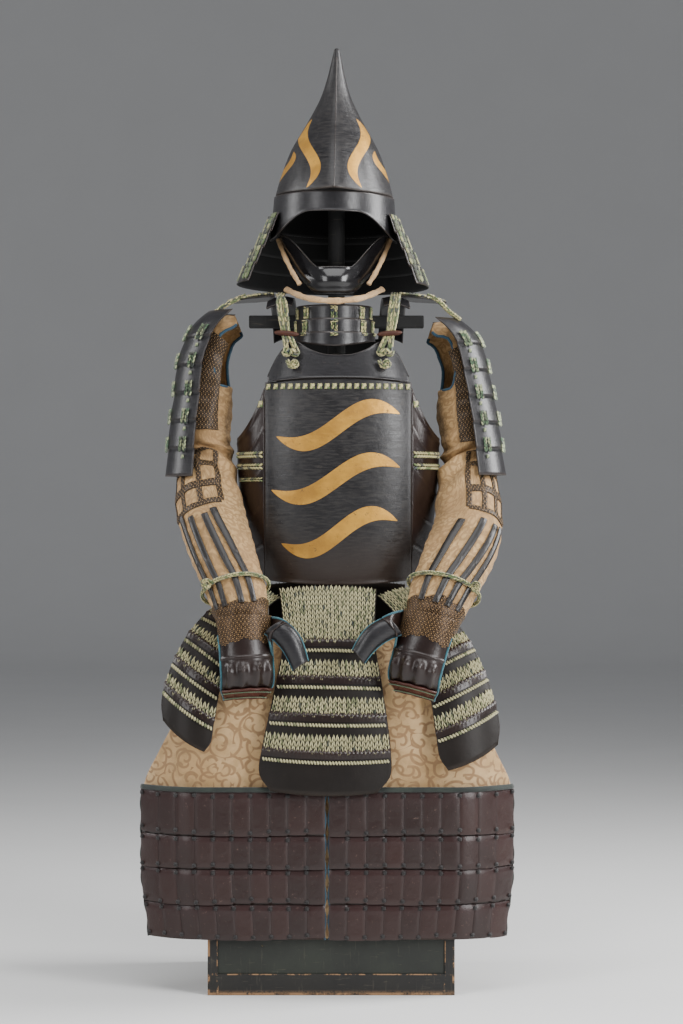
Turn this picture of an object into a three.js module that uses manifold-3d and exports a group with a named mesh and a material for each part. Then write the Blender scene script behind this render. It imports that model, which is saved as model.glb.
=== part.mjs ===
// A suit of samurai armour standing on its lacquered storage chest, in millimetres, +Z up, front towards -Y.
// The suit is hollow: every plate, lame and sleeve is a thin wall, on a plain post and bar inside it.
import * as THREE from "three";
import Module from "manifold-3d";
import { mergeVertices } from "three/addons/utils/BufferGeometryUtils.js";

const wasm = await Module();
wasm.setup();

// ---------------------------------------------------------------- driving dimensions
const GAP = 0.4; // clearance between pieces that touch
const CHEST = { width: 393, depth: 330, height: 506, board: 14, plinth: 34, post: 16, rail: 3, lidDrop: 60 };
const SUIT_RAISE = 6; // the heights below are taken 6 mm above the floor
const SUIT_SHIFT = 8; // the suit sits a little to the right of the chest
const HEAD_SHIFT = -3.5; // helmet, mask and throat guard, from the middle of the suit
const APRON_SHIFT = -6.5; // and the thigh apron a little to the left
const LAME = 2.4; // lacquered lame or plate
const CLOTH = 2.4; // quilted brocade with its lining
const LEATHER = 2.0;

const RAD = Math.PI / 180;
const clamp = (value, low, high) => Math.min(high, Math.max(low, value));
const mix = (a, b, t) => a + (b - a) * t;
const smooth = (t) => {
  const c = clamp(t, 0, 1);
  return c * c * (3 - 2 * c);
};

// ---------------------------------------------------------------- shape helpers

// The value of one column of a table at a place along its key column, smooth through the rows.
function column(table, key, name, at) {
  const n = table.length, rising = table[n - 1][key] > table[0][key];
  const x = (i) => (rising ? table[i][key] : -table[i][key]), a = rising ? at : -at;
  if (a <= x(0)) return table[0][name];
  if (a >= x(n - 1)) return table[n - 1][name];
  let i = 0;
  while (x(i + 1) < a) i++;
  const slope = (j) => {
    if (j <= 0 || j >= n - 1) return null;
    return (table[j + 1][name] - table[j - 1][name]) / (x(j + 1) - x(j - 1));
  };
  const h = x(i + 1) - x(i), t = (a - x(i)) / h, rise = (table[i + 1][name] - table[i][name]) / h;
  const s0 = slope(i) ?? rise, s1 = slope(i + 1) ?? rise;
  const t2 = t * t, t3 = t2 * t;
  return (2 * t3 - 3 * t2 + 1) * table[i][name] + (t3 - 2 * t2 + t) * h * s0 +
    (3 * t2 - 2 * t3) * table[i + 1][name] + (t3 - t2) * h * s1;
}

// A closed wall of even thickness behind a surface(u, v), both from 0 to 1.
// closed joins u = 1 to u = 0; tip closes the v = 1 end to a point; rows lists the v of each row.
function wall(surface, options) {
  const { across, along, rows, thickness, closed = false, tip = false, outward = 1 } = options;
  const vs = rows ?? Array.from({ length: along + 1 }, (_, i) => i / along);
  const nu = closed ? across : across + 1, nv = vs.length;
  const at = (u, v) => new THREE.Vector3(...surface(u, v));
  const step = 1e-3, points = [];
  const wrap = (u) => (closed ? (u + 1) % 1 : clamp(u, 0, 1));
  const outer = [], inner = [];
  for (let j = 0; j < nv; j++) {
    for (let i = 0; i < nu; i++) {
      const u = i / across, v = vs[j], p = at(u, v);
      const du = at(wrap(u + step), v).sub(at(wrap(u - step), v));
      const dv = at(u, clamp(v + step, 0, 1)).sub(at(u, clamp(v - step, 0, 1)));
      const normal = du.cross(dv).normalize().multiplyScalar(outward);
      outer.push(points.push(p) - 1);
      inner.push(points.push(p.clone().addScaledVector(normal, -thickness)) - 1);
    }
  }
  const faces = [], id = (list, i, j) => list[j * nu + (i % nu)];
  const quad = (a, b, c, d) => faces.push([a, b, c], [a, c, d]);
  for (let j = 0; j < nv - 1; j++) {
    for (let i = 0; i < across; i++) {
      quad(id(outer, i, j), id(outer, i + 1, j), id(outer, i + 1, j + 1), id(outer, i, j + 1));
      quad(id(inner, i, j), id(inner, i, j + 1), id(inner, i + 1, j + 1), id(inner, i + 1, j));
    }
  }
  for (let i = 0; i < across; i++) {
    quad(id(outer, i, 0), id(inner, i, 0), id(inner, i + 1, 0), id(outer, i + 1, 0));
    const top = nv - 1;
    if (!tip) quad(id(outer, i, top), id(outer, i + 1, top), id(inner, i + 1, top), id(inner, i, top));
  }
  if (!closed) {
    for (let j = 0; j < nv - 1; j++) {
      const end = across;
      quad(id(outer, 0, j), id(outer, 0, j + 1), id(inner, 0, j + 1), id(inner, 0, j));
      quad(id(outer, end, j), id(inner, end, j), id(inner, end, j + 1), id(outer, end, j + 1));
    }
  }
  if (tip) {
    const centre = (list) => {
      const sum = new THREE.Vector3();
      for (let i = 0; i < nu; i++) sum.add(points[id(list, i, nv - 1)]);
      return points.push(sum.divideScalar(nu)) - 1;
    };
    const top = centre(outer), under = centre(inner);
    points[top].z += tip;
    for (let i = 0; i < across; i++) {
      faces.push([id(outer, i, nv - 1), id(outer, i + 1, nv - 1), top]);
      faces.push([id(inner, i + 1, nv - 1), id(inner, i, nv - 1), under]);
    }
  }
  return facing(points, faces);
}

// A geometry from points and faces, turned so that its faces point out.
function facing(points, faces) {
  let volume = 0;
  for (const [a, b, c] of faces) volume += points[a].dot(points[b].clone().cross(points[c]));
  const index = faces.flatMap(([a, b, c]) => (volume < 0 ? [a, c, b] : [a, b, c]));
  return new THREE.BufferGeometry().setFromPoints(points).setIndex(index);
}

// A round bar along a smooth curve through points, with flat ends; squash flattens its section.
function bar(points, radius, { sides = 8, steps = 10, squash = 1, closed = false } = {}) {
  const curve = new THREE.CatmullRomCurve3(points.map((p) => new THREE.Vector3(...p)), closed);
  const shape = new THREE.Shape(Array.from({ length: sides }, (_, i) => {
    const a = (2 * Math.PI * i) / sides;
    return new THREE.Vector2(radius * Math.cos(a) * squash, radius * Math.sin(a));
  }));
  const along = { steps, extrudePath: curve, bevelEnabled: false, curveSegments: 1 };
  return new THREE.ExtrudeGeometry(shape, along);
}

// Manifold solids, for joining and cutting.
function solid(geometry) {
  const bare = (geometry.index ? geometry.toNonIndexed() : geometry.clone());
  for (const name of Object.keys(bare.attributes)) if (name !== "position") bare.deleteAttribute(name);
  const merged = mergeVertices(bare, 1e-3);
  return new wasm.Manifold(new wasm.Mesh({
    numProp: 3,
    vertProperties: merged.attributes.position.array,
    triVerts: new Uint32Array(merged.index.array),
  }));
}
function geometryOf(manifold) {
  const mesh = manifold.getMesh();
  return new THREE.BufferGeometry()
    .setAttribute("position", new THREE.BufferAttribute(new Float32Array(mesh.vertProperties), 3))
    .setIndex(new THREE.BufferAttribute(mesh.triVerts, 1));
}
const block = (x0, x1, y0, y1, z0, z1) => new THREE.BoxGeometry(x1 - x0, y1 - y0, z1 - z0)
  .translate((x0 + x1) / 2, (y0 + y1) / 2, (z0 + z1) / 2);
const join = (list) => geometryOf(list.map(solid).reduce((a, b) => a.add(b)));
const cut = (from, tools) => geometryOf(tools.reduce((a, b) => a.subtract(solid(b)), solid(from)));
// A profile of [radius, height] pairs turned about a vertical line.
function turned(profile, sides) {
  const points = profile.map((p) => new THREE.Vector2(...p));
  return new THREE.LatheGeometry(points, sides).rotateX(Math.PI / 2);
}

// ---------------------------------------------------------------- materials
function finish(color, roughness, metalness = 0) {
  return new THREE.MeshStandardMaterial({ color, roughness, metalness });
}
const BLACK_LACQUER = finish(0x1c1b1d, 0.35, 0.2);
const GLOSS_LACQUER = finish(0x121113, 0.15, 0.2);
const RUSSET_LACQUER = finish(0x3a2420, 0.45, 0.1);
const BROCADE = finish(0xc29a6b, 0.85);
const TAN_LEATHER = finish(0xd2a577, 0.8);
const LACED = finish(0xa7a98a, 0.9);
const CORD = finish(0xc3c39a, 0.9);
const WOOD = finish(0x6b3a22, 0.5);
const CHEST_GREEN = finish(0x2a3029, 0.55);
const CHEST_BLACK = finish(0x17150f, 0.6);
const STAND_BLACK = finish(0x141414, 0.8);

const suit = new THREE.Group();
suit.position.set(SUIT_SHIFT, 0, SUIT_RAISE);
const apron = new THREE.Group();
apron.position.set(APRON_SHIFT, 0, SUIT_RAISE);
const stand = new THREE.Group();

function piece(group, name, geometry, material) {
  const mesh = new THREE.Mesh(geometry, material);
  mesh.name = name;
  group.add(mesh);
  return mesh;
}
const SIDES = [{ side: "left", s: -1 }, { side: "right", s: 1 }]; // as seen from the front

// ---------------------------------------------------------------- storage chest
function buildChest() {
  const w = CHEST.width / 2, d = CHEST.depth / 2, { board, plinth, post, rail, lidDrop, height } = CHEST;
  const lidTop = height, bodyTop = height - board - GAP, inset = rail + GAP;
  const x = w - inset, y = d - inset, innerX = x - board, innerY = y - board;
  const body = cut(block(-x, x, -y, y, 0, bodyTop),
    [block(-innerX, innerX, -innerY, innerY, board, bodyTop + 1)]);
  const frameTop = lidTop - lidDrop - GAP;
  const outer = block(-w, w, -d, d, 0.01, frameTop);
  const hollow = block(-w + rail, w - rail, -d + rail, d - rail, -1, frameTop + 1);
  const openX = block(-w - 1, w + 1, -d + post, d - post, plinth, frameTop - plinth / 2);
  const openY = block(-w + post, w - post, -d - 1, d + 1, plinth, frameTop - plinth / 2);
  const lid = cut(block(-w, w, -d, d, lidTop - lidDrop, lidTop),
    [block(-w + rail, w - rail, -d + rail, d - rail, lidTop - lidDrop - 1, lidTop - board)]);
  piece(stand, "chest_body", body, CHEST_GREEN);
  piece(stand, "chest_frame", cut(outer, [hollow, openX, openY]), CHEST_BLACK);
  piece(stand, "chest_lid", lid, CHEST_BLACK);
}

// ---------------------------------------------------------------- armour stand inside the suit
const STAND = { foot: 88, footHeight: 14, pole: 15, barHeight: 1076, barTall: 20, barDeep: 26, barReach: 144,
  neck: 14, neckTop: 1284, cushion: 60, cushionTop: 1330 };
function buildStand() {
  const { foot, footHeight, pole, neck, neckTop, cushion, cushionTop } = STAND;
  const base = CHEST.height - SUIT_RAISE + GAP;
  const barFoot = STAND.barHeight - STAND.barTall / 2, barTop = STAND.barHeight + STAND.barTall / 2;
  const y = STAND.barDeep / 2, reach = STAND.barReach;
  const post = [[0, base], [foot, base], [foot, base + footHeight], [pole, base + footHeight + 4],
    [pole, barFoot - GAP], [0, barFoot - GAP]];
  piece(suit, "stand_post", turned(post, 12), STAND_BLACK);
  piece(suit, "stand_shoulder_bar", block(-reach, reach, -y, y, barFoot, barTop), STAND_BLACK);
  const head = [[0, barTop + GAP], [neck, barTop + GAP], [neck, neckTop], [cushion, neckTop + 12],
    [cushion * 0.95, cushionTop - 14], [cushion * 0.75, cushionTop], [0, cushionTop]];
  piece(suit, "stand_head", turned(head, 14), STAND_BLACK);
}

// ---------------------------------------------------------------- helmet
// Rows of the bowl: height, half width, reach to the front and to the back.
const BOWL = [
  { z: 1280, wide: 97.5, front: 122, back: 118 },
  { z: 1296, wide: 93.5, front: 116, back: 112 },
  { z: 1318, wide: 87, front: 105, back: 103 },
  { z: 1338, wide: 80, front: 94, back: 93 },
  { z: 1358, wide: 72, front: 82, back: 82 },
  { z: 1378, wide: 61, front: 68, back: 69 },
  { z: 1398, wide: 49.5, front: 54, back: 55 },
  { z: 1418, wide: 38.5, front: 42, back: 43 },
  { z: 1446, wide: 25, front: 28, back: 29 },
  { z: 1476, wide: 15.5, front: 18, back: 18 },
  { z: 1504, wide: 9, front: 11, back: 11 },
  { z: 1522, wide: 5, front: 6, back: 6 },
];
const HELMET = { lean: 1.0, ridge: 0.05, bandTop: 1278.6, bandProud: 1.6,
  browHeight: 1246, cheekHeight: 1208, napeHeight: 1226 };
// A point of an egg-shaped ring: turn is 0 at the front and goes round by the left.
function ringPoint(turn, wide, front, back, ridge = 0) {
  const a = 2 * Math.PI * turn, c = Math.cos(a), s = Math.sin(a);
  const crest = 1 + ridge * Math.exp(-((Math.min(turn, 1 - turn) / 0.035) ** 2));
  return [-wide * s * crest, (c > 0 ? -front * c : -back * c) * crest];
}
function bowlPoint(u, v) {
  const z = mix(BOWL[0].z, BOWL.at(-1).z, v);
  const col = (name) => column(BOWL, "z", name, z);
  const [x, y] = ringPoint(u, col("wide"), col("front"), col("back"), HELMET.ridge);
  return [x, y, z];
}
function browPoint(u, v) {
  const fromFront = Math.min(u, 1 - u);
  const side = smooth((fromFront - 0.06) / 0.14), nape = smooth((fromFront - 0.26) / 0.1);
  const low = mix(mix(HELMET.browHeight, HELMET.cheekHeight, side), HELMET.napeHeight, nape);
  const z = mix(low, HELMET.bandTop, v), flare = (BOWL[0].z - z) * 0.07 + HELMET.bandProud;
  const [x, y] = ringPoint(u, BOWL[0].wide + flare, BOWL[0].front + flare, BOWL[0].back + flare);
  return [x, y, z];
}
// Neck guard: four lames, each a horseshoe open to the front and flaring out below the one above.
const NECK_GUARD = { lames: 4, top: 1249, drop: 27.5, tall: 32, wide: 105, deep: 132,
  flare: 10.6, proud: 3, mouth: 0.165 };
function neckLame(i) {
  const n = NECK_GUARD, top = n.top - i * n.drop;
  return (u, v) => {
    const turn = mix(n.mouth, 1 - n.mouth, u), low = top - n.tall, z = mix(low, top, v);
    const out = n.flare * (i + (1 - v) * (n.tall / n.drop)) + n.proud * i;
    const [x, y] = ringPoint(turn, n.wide + out, n.deep + out, n.deep + out);
    return [x, y, z];
  };
}
function buildHelmet() {
  const helmet = new THREE.Group();
  suit.add(helmet);
  helmet.position.set(HEAD_SHIFT, 0, BOWL[0].z);
  helmet.rotation.y = HELMET.lean * RAD;
  const lowered = (f) => (u, v) => {
    const [x, y, z] = f(u, v);
    return [x, y, z - BOWL[0].z];
  };
  const rows = BOWL.map((r) => (r.z - BOWL[0].z) / (BOWL.at(-1).z - BOWL[0].z));
  const ring = { closed: true, outward: -1 };
  const bowl = wall(lowered(bowlPoint), { ...ring, across: 24, rows, thickness: 1.8, tip: 6 });
  const band = wall(lowered(browPoint), { ...ring, across: 28, along: 2, thickness: LAME });
  piece(helmet, "helmet_bowl", bowl, BLACK_LACQUER);
  piece(helmet, "helmet_brow_band", band, BLACK_LACQUER);
  for (let i = 0; i < NECK_GUARD.lames; i++) {
    const lame = wall(lowered(neckLame(i)), { across: 16, along: 1, thickness: 2, outward: -1 });
    piece(helmet, "neck_guard_" + (i + 1), lame, BLACK_LACQUER);
  }
}

// ---------------------------------------------------------------- chin mask and throat guard
const MASK = { ear: 88, jaw: 56, earHeight: 1205, jawHeight: 1124, reach: 68, centre: -26, spread: 96,
  lip: 1159, cheekTop: 1216, chinLow: 1114, cheekLow: 1178 };
function maskPoint(u, v) {
  const m = MASK, a = mix(-m.spread, m.spread, u) * RAD;
  const rise = smooth((Math.abs(Math.sin(a)) - 0.34) / 0.62), back = smooth((Math.abs(a) / RAD - 30) / 62);
  const z = mix(mix(m.chinLow, m.cheekLow, back), mix(m.lip, m.cheekTop, rise), v);
  const wide = mix(m.jaw, m.ear, (z - m.jawHeight) / (m.earHeight - m.jawHeight));
  const below = clamp((z - m.chinLow) / (m.lip - m.chinLow), 0, 1);
  const chin = 9 * Math.sin(Math.PI * below) * Math.max(0, Math.cos(a)) ** 2;
  return [wide * Math.sin(a), m.centre - (m.reach + chin) * Math.max(Math.cos(a), -0.2), z];
}
const THROAT = { lames: 3, top: 1098, drop: 22, tall: 25, wide: 62, reach: 74, centre: -28, spread: 84,
  flare: -0.4, proud: 2.9, lowest: 24 };
function throatLame(i) {
  const t = THROAT, top = t.top - i * t.drop, tall = i === t.lames - 1 ? t.lowest : t.tall;
  return (u, v) => {
    const a = mix(-t.spread, t.spread, u) * RAD, crescent = 1 - 0.45 * smooth(Math.abs(a) / RAD / t.spread);
    const z = top - (1 - v) * (i === t.lames - 1 ? tall * crescent : tall);
    const out = t.proud * i + t.flare * (1 - v);
    return [(t.wide + out) * Math.sin(a), t.centre - (t.reach + out) * Math.cos(a), z];
  };
}
function buildMask() {
  const head = new THREE.Group();
  head.position.x = HEAD_SHIFT;
  suit.add(head);
  piece(head, "mask_shell", wall(maskPoint, { across: 16, along: 5, thickness: 2 }), GLOSS_LACQUER);
  for (const { side, s } of SIDES) {
    const route = [[s * 93, -28, 1204], [s * 84, -40, 1178], [s * 72, -56, 1150], [s * 62, -74, 1130]];
    piece(head, "mask_lining_edge_" + side, bar(route, 4, { sides: 6, steps: 6 }), TAN_LEATHER);
  }
  const half = [[80, -34, 1121], [66, -62, 1117], [42, -92, 1108]];
  const collar = [...half.map(([x, y, z]) => [-x, y, z]), [0, -108, 1102.5], ...half.reverse()];
  piece(head, "collar_pad", bar(collar, 5, { sides: 8, steps: 14, squash: 0.6 }), TAN_LEATHER);
  for (let i = 0; i < THROAT.lames; i++) {
    const lame = wall(throatLame(i), { across: 12, along: 2, thickness: 1.8 });
    piece(head, "throat_lame_" + (i + 1), lame, BLACK_LACQUER);
  }
}

// ---------------------------------------------------------------- cuirass
// Rows of the body: height, half width, reach to the front and to the back.
const BODY = [
  { z: 652, wide: 138, front: 112, back: 104 },
  { z: 700, wide: 148, front: 120, back: 110 },
  { z: 760, wide: 159, front: 127, back: 115 },
  { z: 820, wide: 165, front: 131, back: 119 },
  { z: 880, wide: 166, front: 131, back: 121 },
  { z: 930, wide: 162, front: 127, back: 121 },
  { z: 980, wide: 153, front: 119, back: 118 },
  { z: 1040, wide: 136, front: 105, back: 111 },
  { z: 1075, wide: 122, front: 94, back: 104 },
];
const BODY_SQUARENESS = 2.5;
const CUIRASS_SHIFT = 3;
const CUIRASS = { hem: 652, hemSag: 7, frontHalf: 118, waistSeam: 978, chestHalf: 114, backHalf: 112,
  backTop: 1046, armhole: 884, armholeRise: 80, flange: 3, seam: 1.2 };
// The body's ring at a height; turn is 0 at the front and 0.5 at the back.
function bodyRing(turn, z) {
  const a = 2 * Math.PI * turn, c = Math.cos(a), s = Math.sin(a), n = 2 / BODY_SQUARENESS;
  const deep = column(BODY, "z", c > 0 ? "front" : "back", z);
  const wide = column(BODY, "z", "wide", z);
  return [wide * Math.sign(s) * Math.abs(s) ** n, -deep * Math.sign(c) * Math.abs(c) ** n];
}
// How far the body stands out in front or behind, x from its middle.
function bodyDepth(side, x, z) {
  const share = Math.min(1, Math.abs(x) / column(BODY, "z", "wide", z));
  return column(BODY, "z", side, z) * (1 - share ** BODY_SQUARENESS) ** (1 / BODY_SQUARENESS);
}
const frontDepth = (x, z) => -bodyDepth("front", x, z);
const backDepth = (x, z) => bodyDepth("back", x, z);
// The turn at which the body is x wide at a height.
function turnAt(x, z) {
  const share = Math.min(1, x / column(BODY, "z", "wide", z));
  return Math.asin(share ** (BODY_SQUARENESS / 2)) / (2 * Math.PI);
}
// Top edge of the upper chest plate: across from the middle, and its height.
const CHEST_EDGE = [
  { x: 0, z: 1015 }, { x: 24, z: 1017 }, { x: 46, z: 1025 }, { x: 64, z: 1036 }, { x: 74, z: 1037 },
  { x: 86, z: 1029 }, { x: 98, z: 1014 }, { x: 108, z: 995 }, { x: 114, z: 981 },
];
function chestPlatePoint(u, v) {
  const half = CUIRASS.chestHalf, x = mix(-half, half, u);
  const low = CUIRASS.waistSeam + GAP - 6 * (x / half) ** 2;
  const z = mix(low, Math.max(low + 4, column(CHEST_EDGE, "x", "z", Math.abs(x))), v);
  return [x, frontDepth(x, z) - CUIRASS.flange, z];
}
function frontPlatePoint(u, v) {
  const x = mix(-CUIRASS.frontHalf, CUIRASS.frontHalf, u), share = (x / CUIRASS.frontHalf) ** 2;
  const top = CUIRASS.waistSeam - 6 * share * (CUIRASS.frontHalf / CUIRASS.chestHalf) ** 2;
  const z = mix(CUIRASS.hem + CUIRASS.hemSag * (share - 1), top, v);
  return [x, frontDepth(x, z), z];
}
function backPlatePoint(u, v) {
  const x = mix(CUIRASS.backHalf, -CUIRASS.backHalf, u), share = Math.abs(x) / CUIRASS.backHalf;
  const shoulder = mix(CUIRASS.backTop, CUIRASS.armhole + 82, smooth((share - 0.72) / 0.28));
  const top = shoulder + 8 * smooth(share / 0.5) * (1 - 0.5 * smooth((share - 0.66) / 0.12));
  const z = mix(CUIRASS.hem, top, v);
  return [x, backDepth(x, z), z];
}
function sidePlate(s) {
  return (u, v) => {
    const { seam, armhole, armholeRise } = CUIRASS, edge = Math.abs(2 * u - 1);
    const top = armhole + armholeRise * edge ** 3;
    const z = mix(CUIRASS.hem + 1, top, v);
    const from = turnAt(CUIRASS.frontHalf + seam, z), to = 0.5 - turnAt(CUIRASS.backHalf + seam, z);
    const [x, y] = bodyRing(mix(from, to, u), z);
    return [s * x, y, z];
  };
}
// Shoulder strap: over the shoulder from the back plate to its free front end.
const STRAP = [
  { t: 0, y: 107, z: 1052 },
  { t: 0.25, y: 84, z: 1090 },
  { t: 0.5, y: 35, z: 1112 },
  { t: 0.75, y: -25, z: 1113 },
  { t: 1, y: -68, z: 1098 },
];
const STRAP_PLACE = { middle: 96, half: 21, spread: 8 };
function strapPoint(s) {
  return (u, v) => {
    const { half, spread } = STRAP_PLACE, middle = STRAP_PLACE.middle - spread * (1 - v);
    const across = mix(-half, half, u);
    const drop = 0.012 * across * across + 0.10 * across;
    return [s * (middle + across), column(STRAP, "t", "y", v), column(STRAP, "t", "z", v) - drop];
  };
}
// Wing plate: a small leaf that stands on the strap to guard the shoulder.
function wingPoint(s) {
  return (u, v) => {
    const y = mix(-46, 46, u), half = Math.sqrt(1 - (y / 50) ** 2);
    const x = 100 + mix(2, 76 * half + 6, v);
    return [s * x, y + 4, 1122 - 0.0021 * (x - 100) ** 2 - 0.003 * y * y];
  };
}
// Chest cord: a pair of strands from the strap's end through the toggle to their knot on the chest plate.
const CHEST_CORD = { top: [92, -79, 1103], mid: [85, -101, 1056],
  knot: [76, -113, 1024], end: [74, -118, 1002] };
const TOGGLE = { at: [83, -108, 1050], reach: 17, thick: 4.2, tilt: 6 };
function buildCuirass() {
  const body = new THREE.Group();
  body.position.x = CUIRASS_SHIFT;
  suit.add(body);
  const front = wall(frontPlatePoint, { across: 14, along: 7, thickness: LAME });
  const chest = wall(chestPlatePoint, { across: 20, along: 3, thickness: LAME });
  const back = wall(backPlatePoint, { across: 12, along: 7, thickness: LAME });
  piece(body, "cuirass_front", front, BLACK_LACQUER);
  piece(body, "cuirass_chest_plate", chest, BLACK_LACQUER);
  piece(body, "cuirass_back", back, BLACK_LACQUER);
  for (const { side, s } of SIDES) {
    const plate = wall(sidePlate(s), { across: 10, along: 5, thickness: LAME, outward: s });
    const strap = wall(strapPoint(s), { across: 3, along: 8, thickness: 3, outward: s });
    const wing = wall(wingPoint(s), { across: 8, along: 3, thickness: 2, outward: -s });
    piece(body, "cuirass_side_" + side, plate, RUSSET_LACQUER);
    piece(body, "shoulder_strap_" + side, strap, BLACK_LACQUER);
    piece(suit, "shoulder_wing_" + side, wing, BLACK_LACQUER);
    const { top, mid, knot, end } = CHEST_CORD, mirror = ([x, y, z]) => [s * x, y, z];
    const hung = solid(bar([top, mid, knot, end].map(mirror), 7, { sides: 8, steps: 8, squash: 0.5 }));
    const { at: [tx, ty, tz], thick, reach, tilt } = TOGGLE;
    const pin = (r) => solid(new THREE.CapsuleGeometry(r, 2 * reach, 3, 8).rotateZ(Math.PI / 2)
      .rotateY(-s * tilt * RAD).translate(s * tx, ty, tz));
    const toggle = pin(thick), room = pin(thick + GAP);
    const parts = hung.subtract(room).decompose().sort((a, b) => b.volume() - a.volume());
    piece(body, "chest_cord_" + side, geometryOf(parts[0]), CORD);
    piece(body, "toggle_" + side, geometryOf(toggle), WOOD);
  }
}

// ---------------------------------------------------------------- sleeves
// Rows of a sleeve from shoulder to wrist: the middle of the ring, half its width and half its depth.
const SLEEVES = {
  left: [
    { t: 0, x: -158, y: 6, z: 1062, across: 25, deep: 40 },
    { t: 0.06, x: -186, y: 6, z: 1050, across: 31, deep: 46 },
    { t: 0.13, x: -205, y: 4, z: 1016, across: 34, deep: 43 },
    { t: 0.2, x: -212, y: 2, z: 970, across: 37, deep: 45 },
    { t: 0.29, x: -214, y: -4, z: 925, across: 38, deep: 46 },
    { t: 0.37, x: -215, y: -8, z: 888, across: 39, deep: 46 },
    { t: 0.46, x: -213, y: -16, z: 848, across: 43, deep: 43 },
    { t: 0.53, x: -210, y: -44, z: 808, across: 48, deep: 45 },
    { t: 0.59, x: -204, y: -76, z: 766, across: 52, deep: 46 },
    { t: 0.66, x: -195, y: -100, z: 733, across: 51, deep: 42 },
    { t: 0.74, x: -182, y: -125, z: 697, across: 50, deep: 39 },
    { t: 0.82, x: -168, y: -150, z: 660, across: 47, deep: 36 },
    { t: 0.9, x: -155, y: -174, z: 625, across: 43, deep: 32 },
    { t: 1, x: -145, y: -197, z: 574, across: 35, deep: 25 },
  ],
  right: [
    { t: 0, x: 152, y: 6, z: 1050, across: 25, deep: 40 },
    { t: 0.06, x: 180, y: 6, z: 1040, across: 31, deep: 46 },
    { t: 0.13, x: 199, y: 2, z: 1008, across: 32, deep: 41 },
    { t: 0.2, x: 206, y: 0, z: 965, across: 35, deep: 44 },
    { t: 0.29, x: 209, y: -4, z: 925, across: 40, deep: 46 },
    { t: 0.37, x: 213, y: -8, z: 885, across: 39.5, deep: 46 },
    { t: 0.46, x: 216, y: -16, z: 842, across: 41.5, deep: 43 },
    { t: 0.53, x: 213, y: -44, z: 802, across: 48, deep: 45 },
    { t: 0.59, x: 214, y: -76, z: 757, across: 51, deep: 46 },
    { t: 0.66, x: 210, y: -100, z: 726, across: 53, deep: 42 },
    { t: 0.74, x: 197, y: -125, z: 694, across: 55, deep: 39 },
    { t: 0.82, x: 181, y: -150, z: 660, across: 52, deep: 36 },
    { t: 0.9, x: 164, y: -174, z: 625, across: 47, deep: 32 },
    { t: 1, x: 146, y: -197, z: 574, across: 36, deep: 25 },
  ],
};
// The ring at t lies square to the arm; turn 0 faces the front and grows towards the outside.
function sleeveFrame(side, t) {
  const rows = SLEEVES[side];
  const place = (k) => ["x", "y", "z"].map((n) => column(rows, "t", n, clamp(k, 0, 1)));
  const at = (k) => new THREE.Vector3(...place(k));
  const along = at(t + 0.01).sub(at(t - 0.01)).normalize();
  const across = new THREE.Vector3(side === "left" ? -1 : 1, 0, 0);
  across.addScaledVector(along, -across.dot(along)).normalize();
  const front = new THREE.Vector3().crossVectors(across, along).normalize();
  if (front.y > 0) front.negate();
  return { middle: at(t), across, front };
}
const SLEEVE_MOUTH = 0.2; // how far down the arm the opening towards the body runs
function sleevePoint(side, turn, t, proud = 0) {
  const { middle, across, front } = sleeveFrame(side, t), rows = SLEEVES[side], a = 2 * Math.PI * turn;
  const wide = column(rows, "t", "across", t) + proud, deep = column(rows, "t", "deep", t) + proud;
  return middle.clone().addScaledVector(across, wide * Math.sin(a))
    .addScaledVector(front, deep * Math.cos(a)).toArray();
}
function sleeveWall(side) {
  return (u, v) => {
    const inward = smooth((Math.cos(2 * Math.PI * (u - 0.8)) + 0.1) / 0.9); // 1 on the side towards the body
    return sleevePoint(side, u, mix(SLEEVE_MOUTH * inward, 1, v));
  };
}
// Splints: narrow iron strips along the forearm, by their turn round the sleeve at elbow and wrist.
const SPLINTS = {
  left: [
    { name: "rear", elbow: 0.18, wrist: 0.157, from: 0.62 },
    { name: "outer", elbow: 0.117, wrist: 0.09, from: 0.64 },
    { name: "middle", elbow: 0.045, wrist: -0.01, from: 0.65 },
    { name: "inner", elbow: 0, wrist: -0.082, from: 0.64 },
  ],
  right: [
    { name: "rear", elbow: 0.19, wrist: 0.128, from: 0.645 },
    { name: "outer", elbow: 0.145, wrist: 0.06, from: 0.65 },
    { name: "middle", elbow: 0.075, wrist: -0.005, from: 0.65 },
    { name: "inner", elbow: -0.022, wrist: -0.088, from: 0.67 },
  ],
};
const SPLINT = { to: 0.915, half: 0.0165, rise: 3.8, thickness: 2 };
const splintPoint = (side, row) => (u, v) => {
  const turn = mix(row.elbow, row.wrist, v) + mix(-1, 1, u) * SPLINT.half;
  return sleevePoint(side, turn, mix(row.from, SPLINT.to, v), SPLINT.rise);
};
// Hand guard: a plate over the back of the hand that bends down over the curled fingers.
const HANDS = {
  left: { wrist: [-147, -200, 596], along: [0.07, -0.17, -0.985], across: [-0.96, -0.22, 0] },
  right: { wrist: [150, -200, 598], along: [-0.27, -0.16, -0.95], across: [0.92, -0.28, -0.22] },
};
const HAND = { length: 138, wristHalf: 45, half: 43, wristDeep: 35, deep: 32,
  spread: 76, curl: 66, knuckle: 0.6 };
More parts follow.
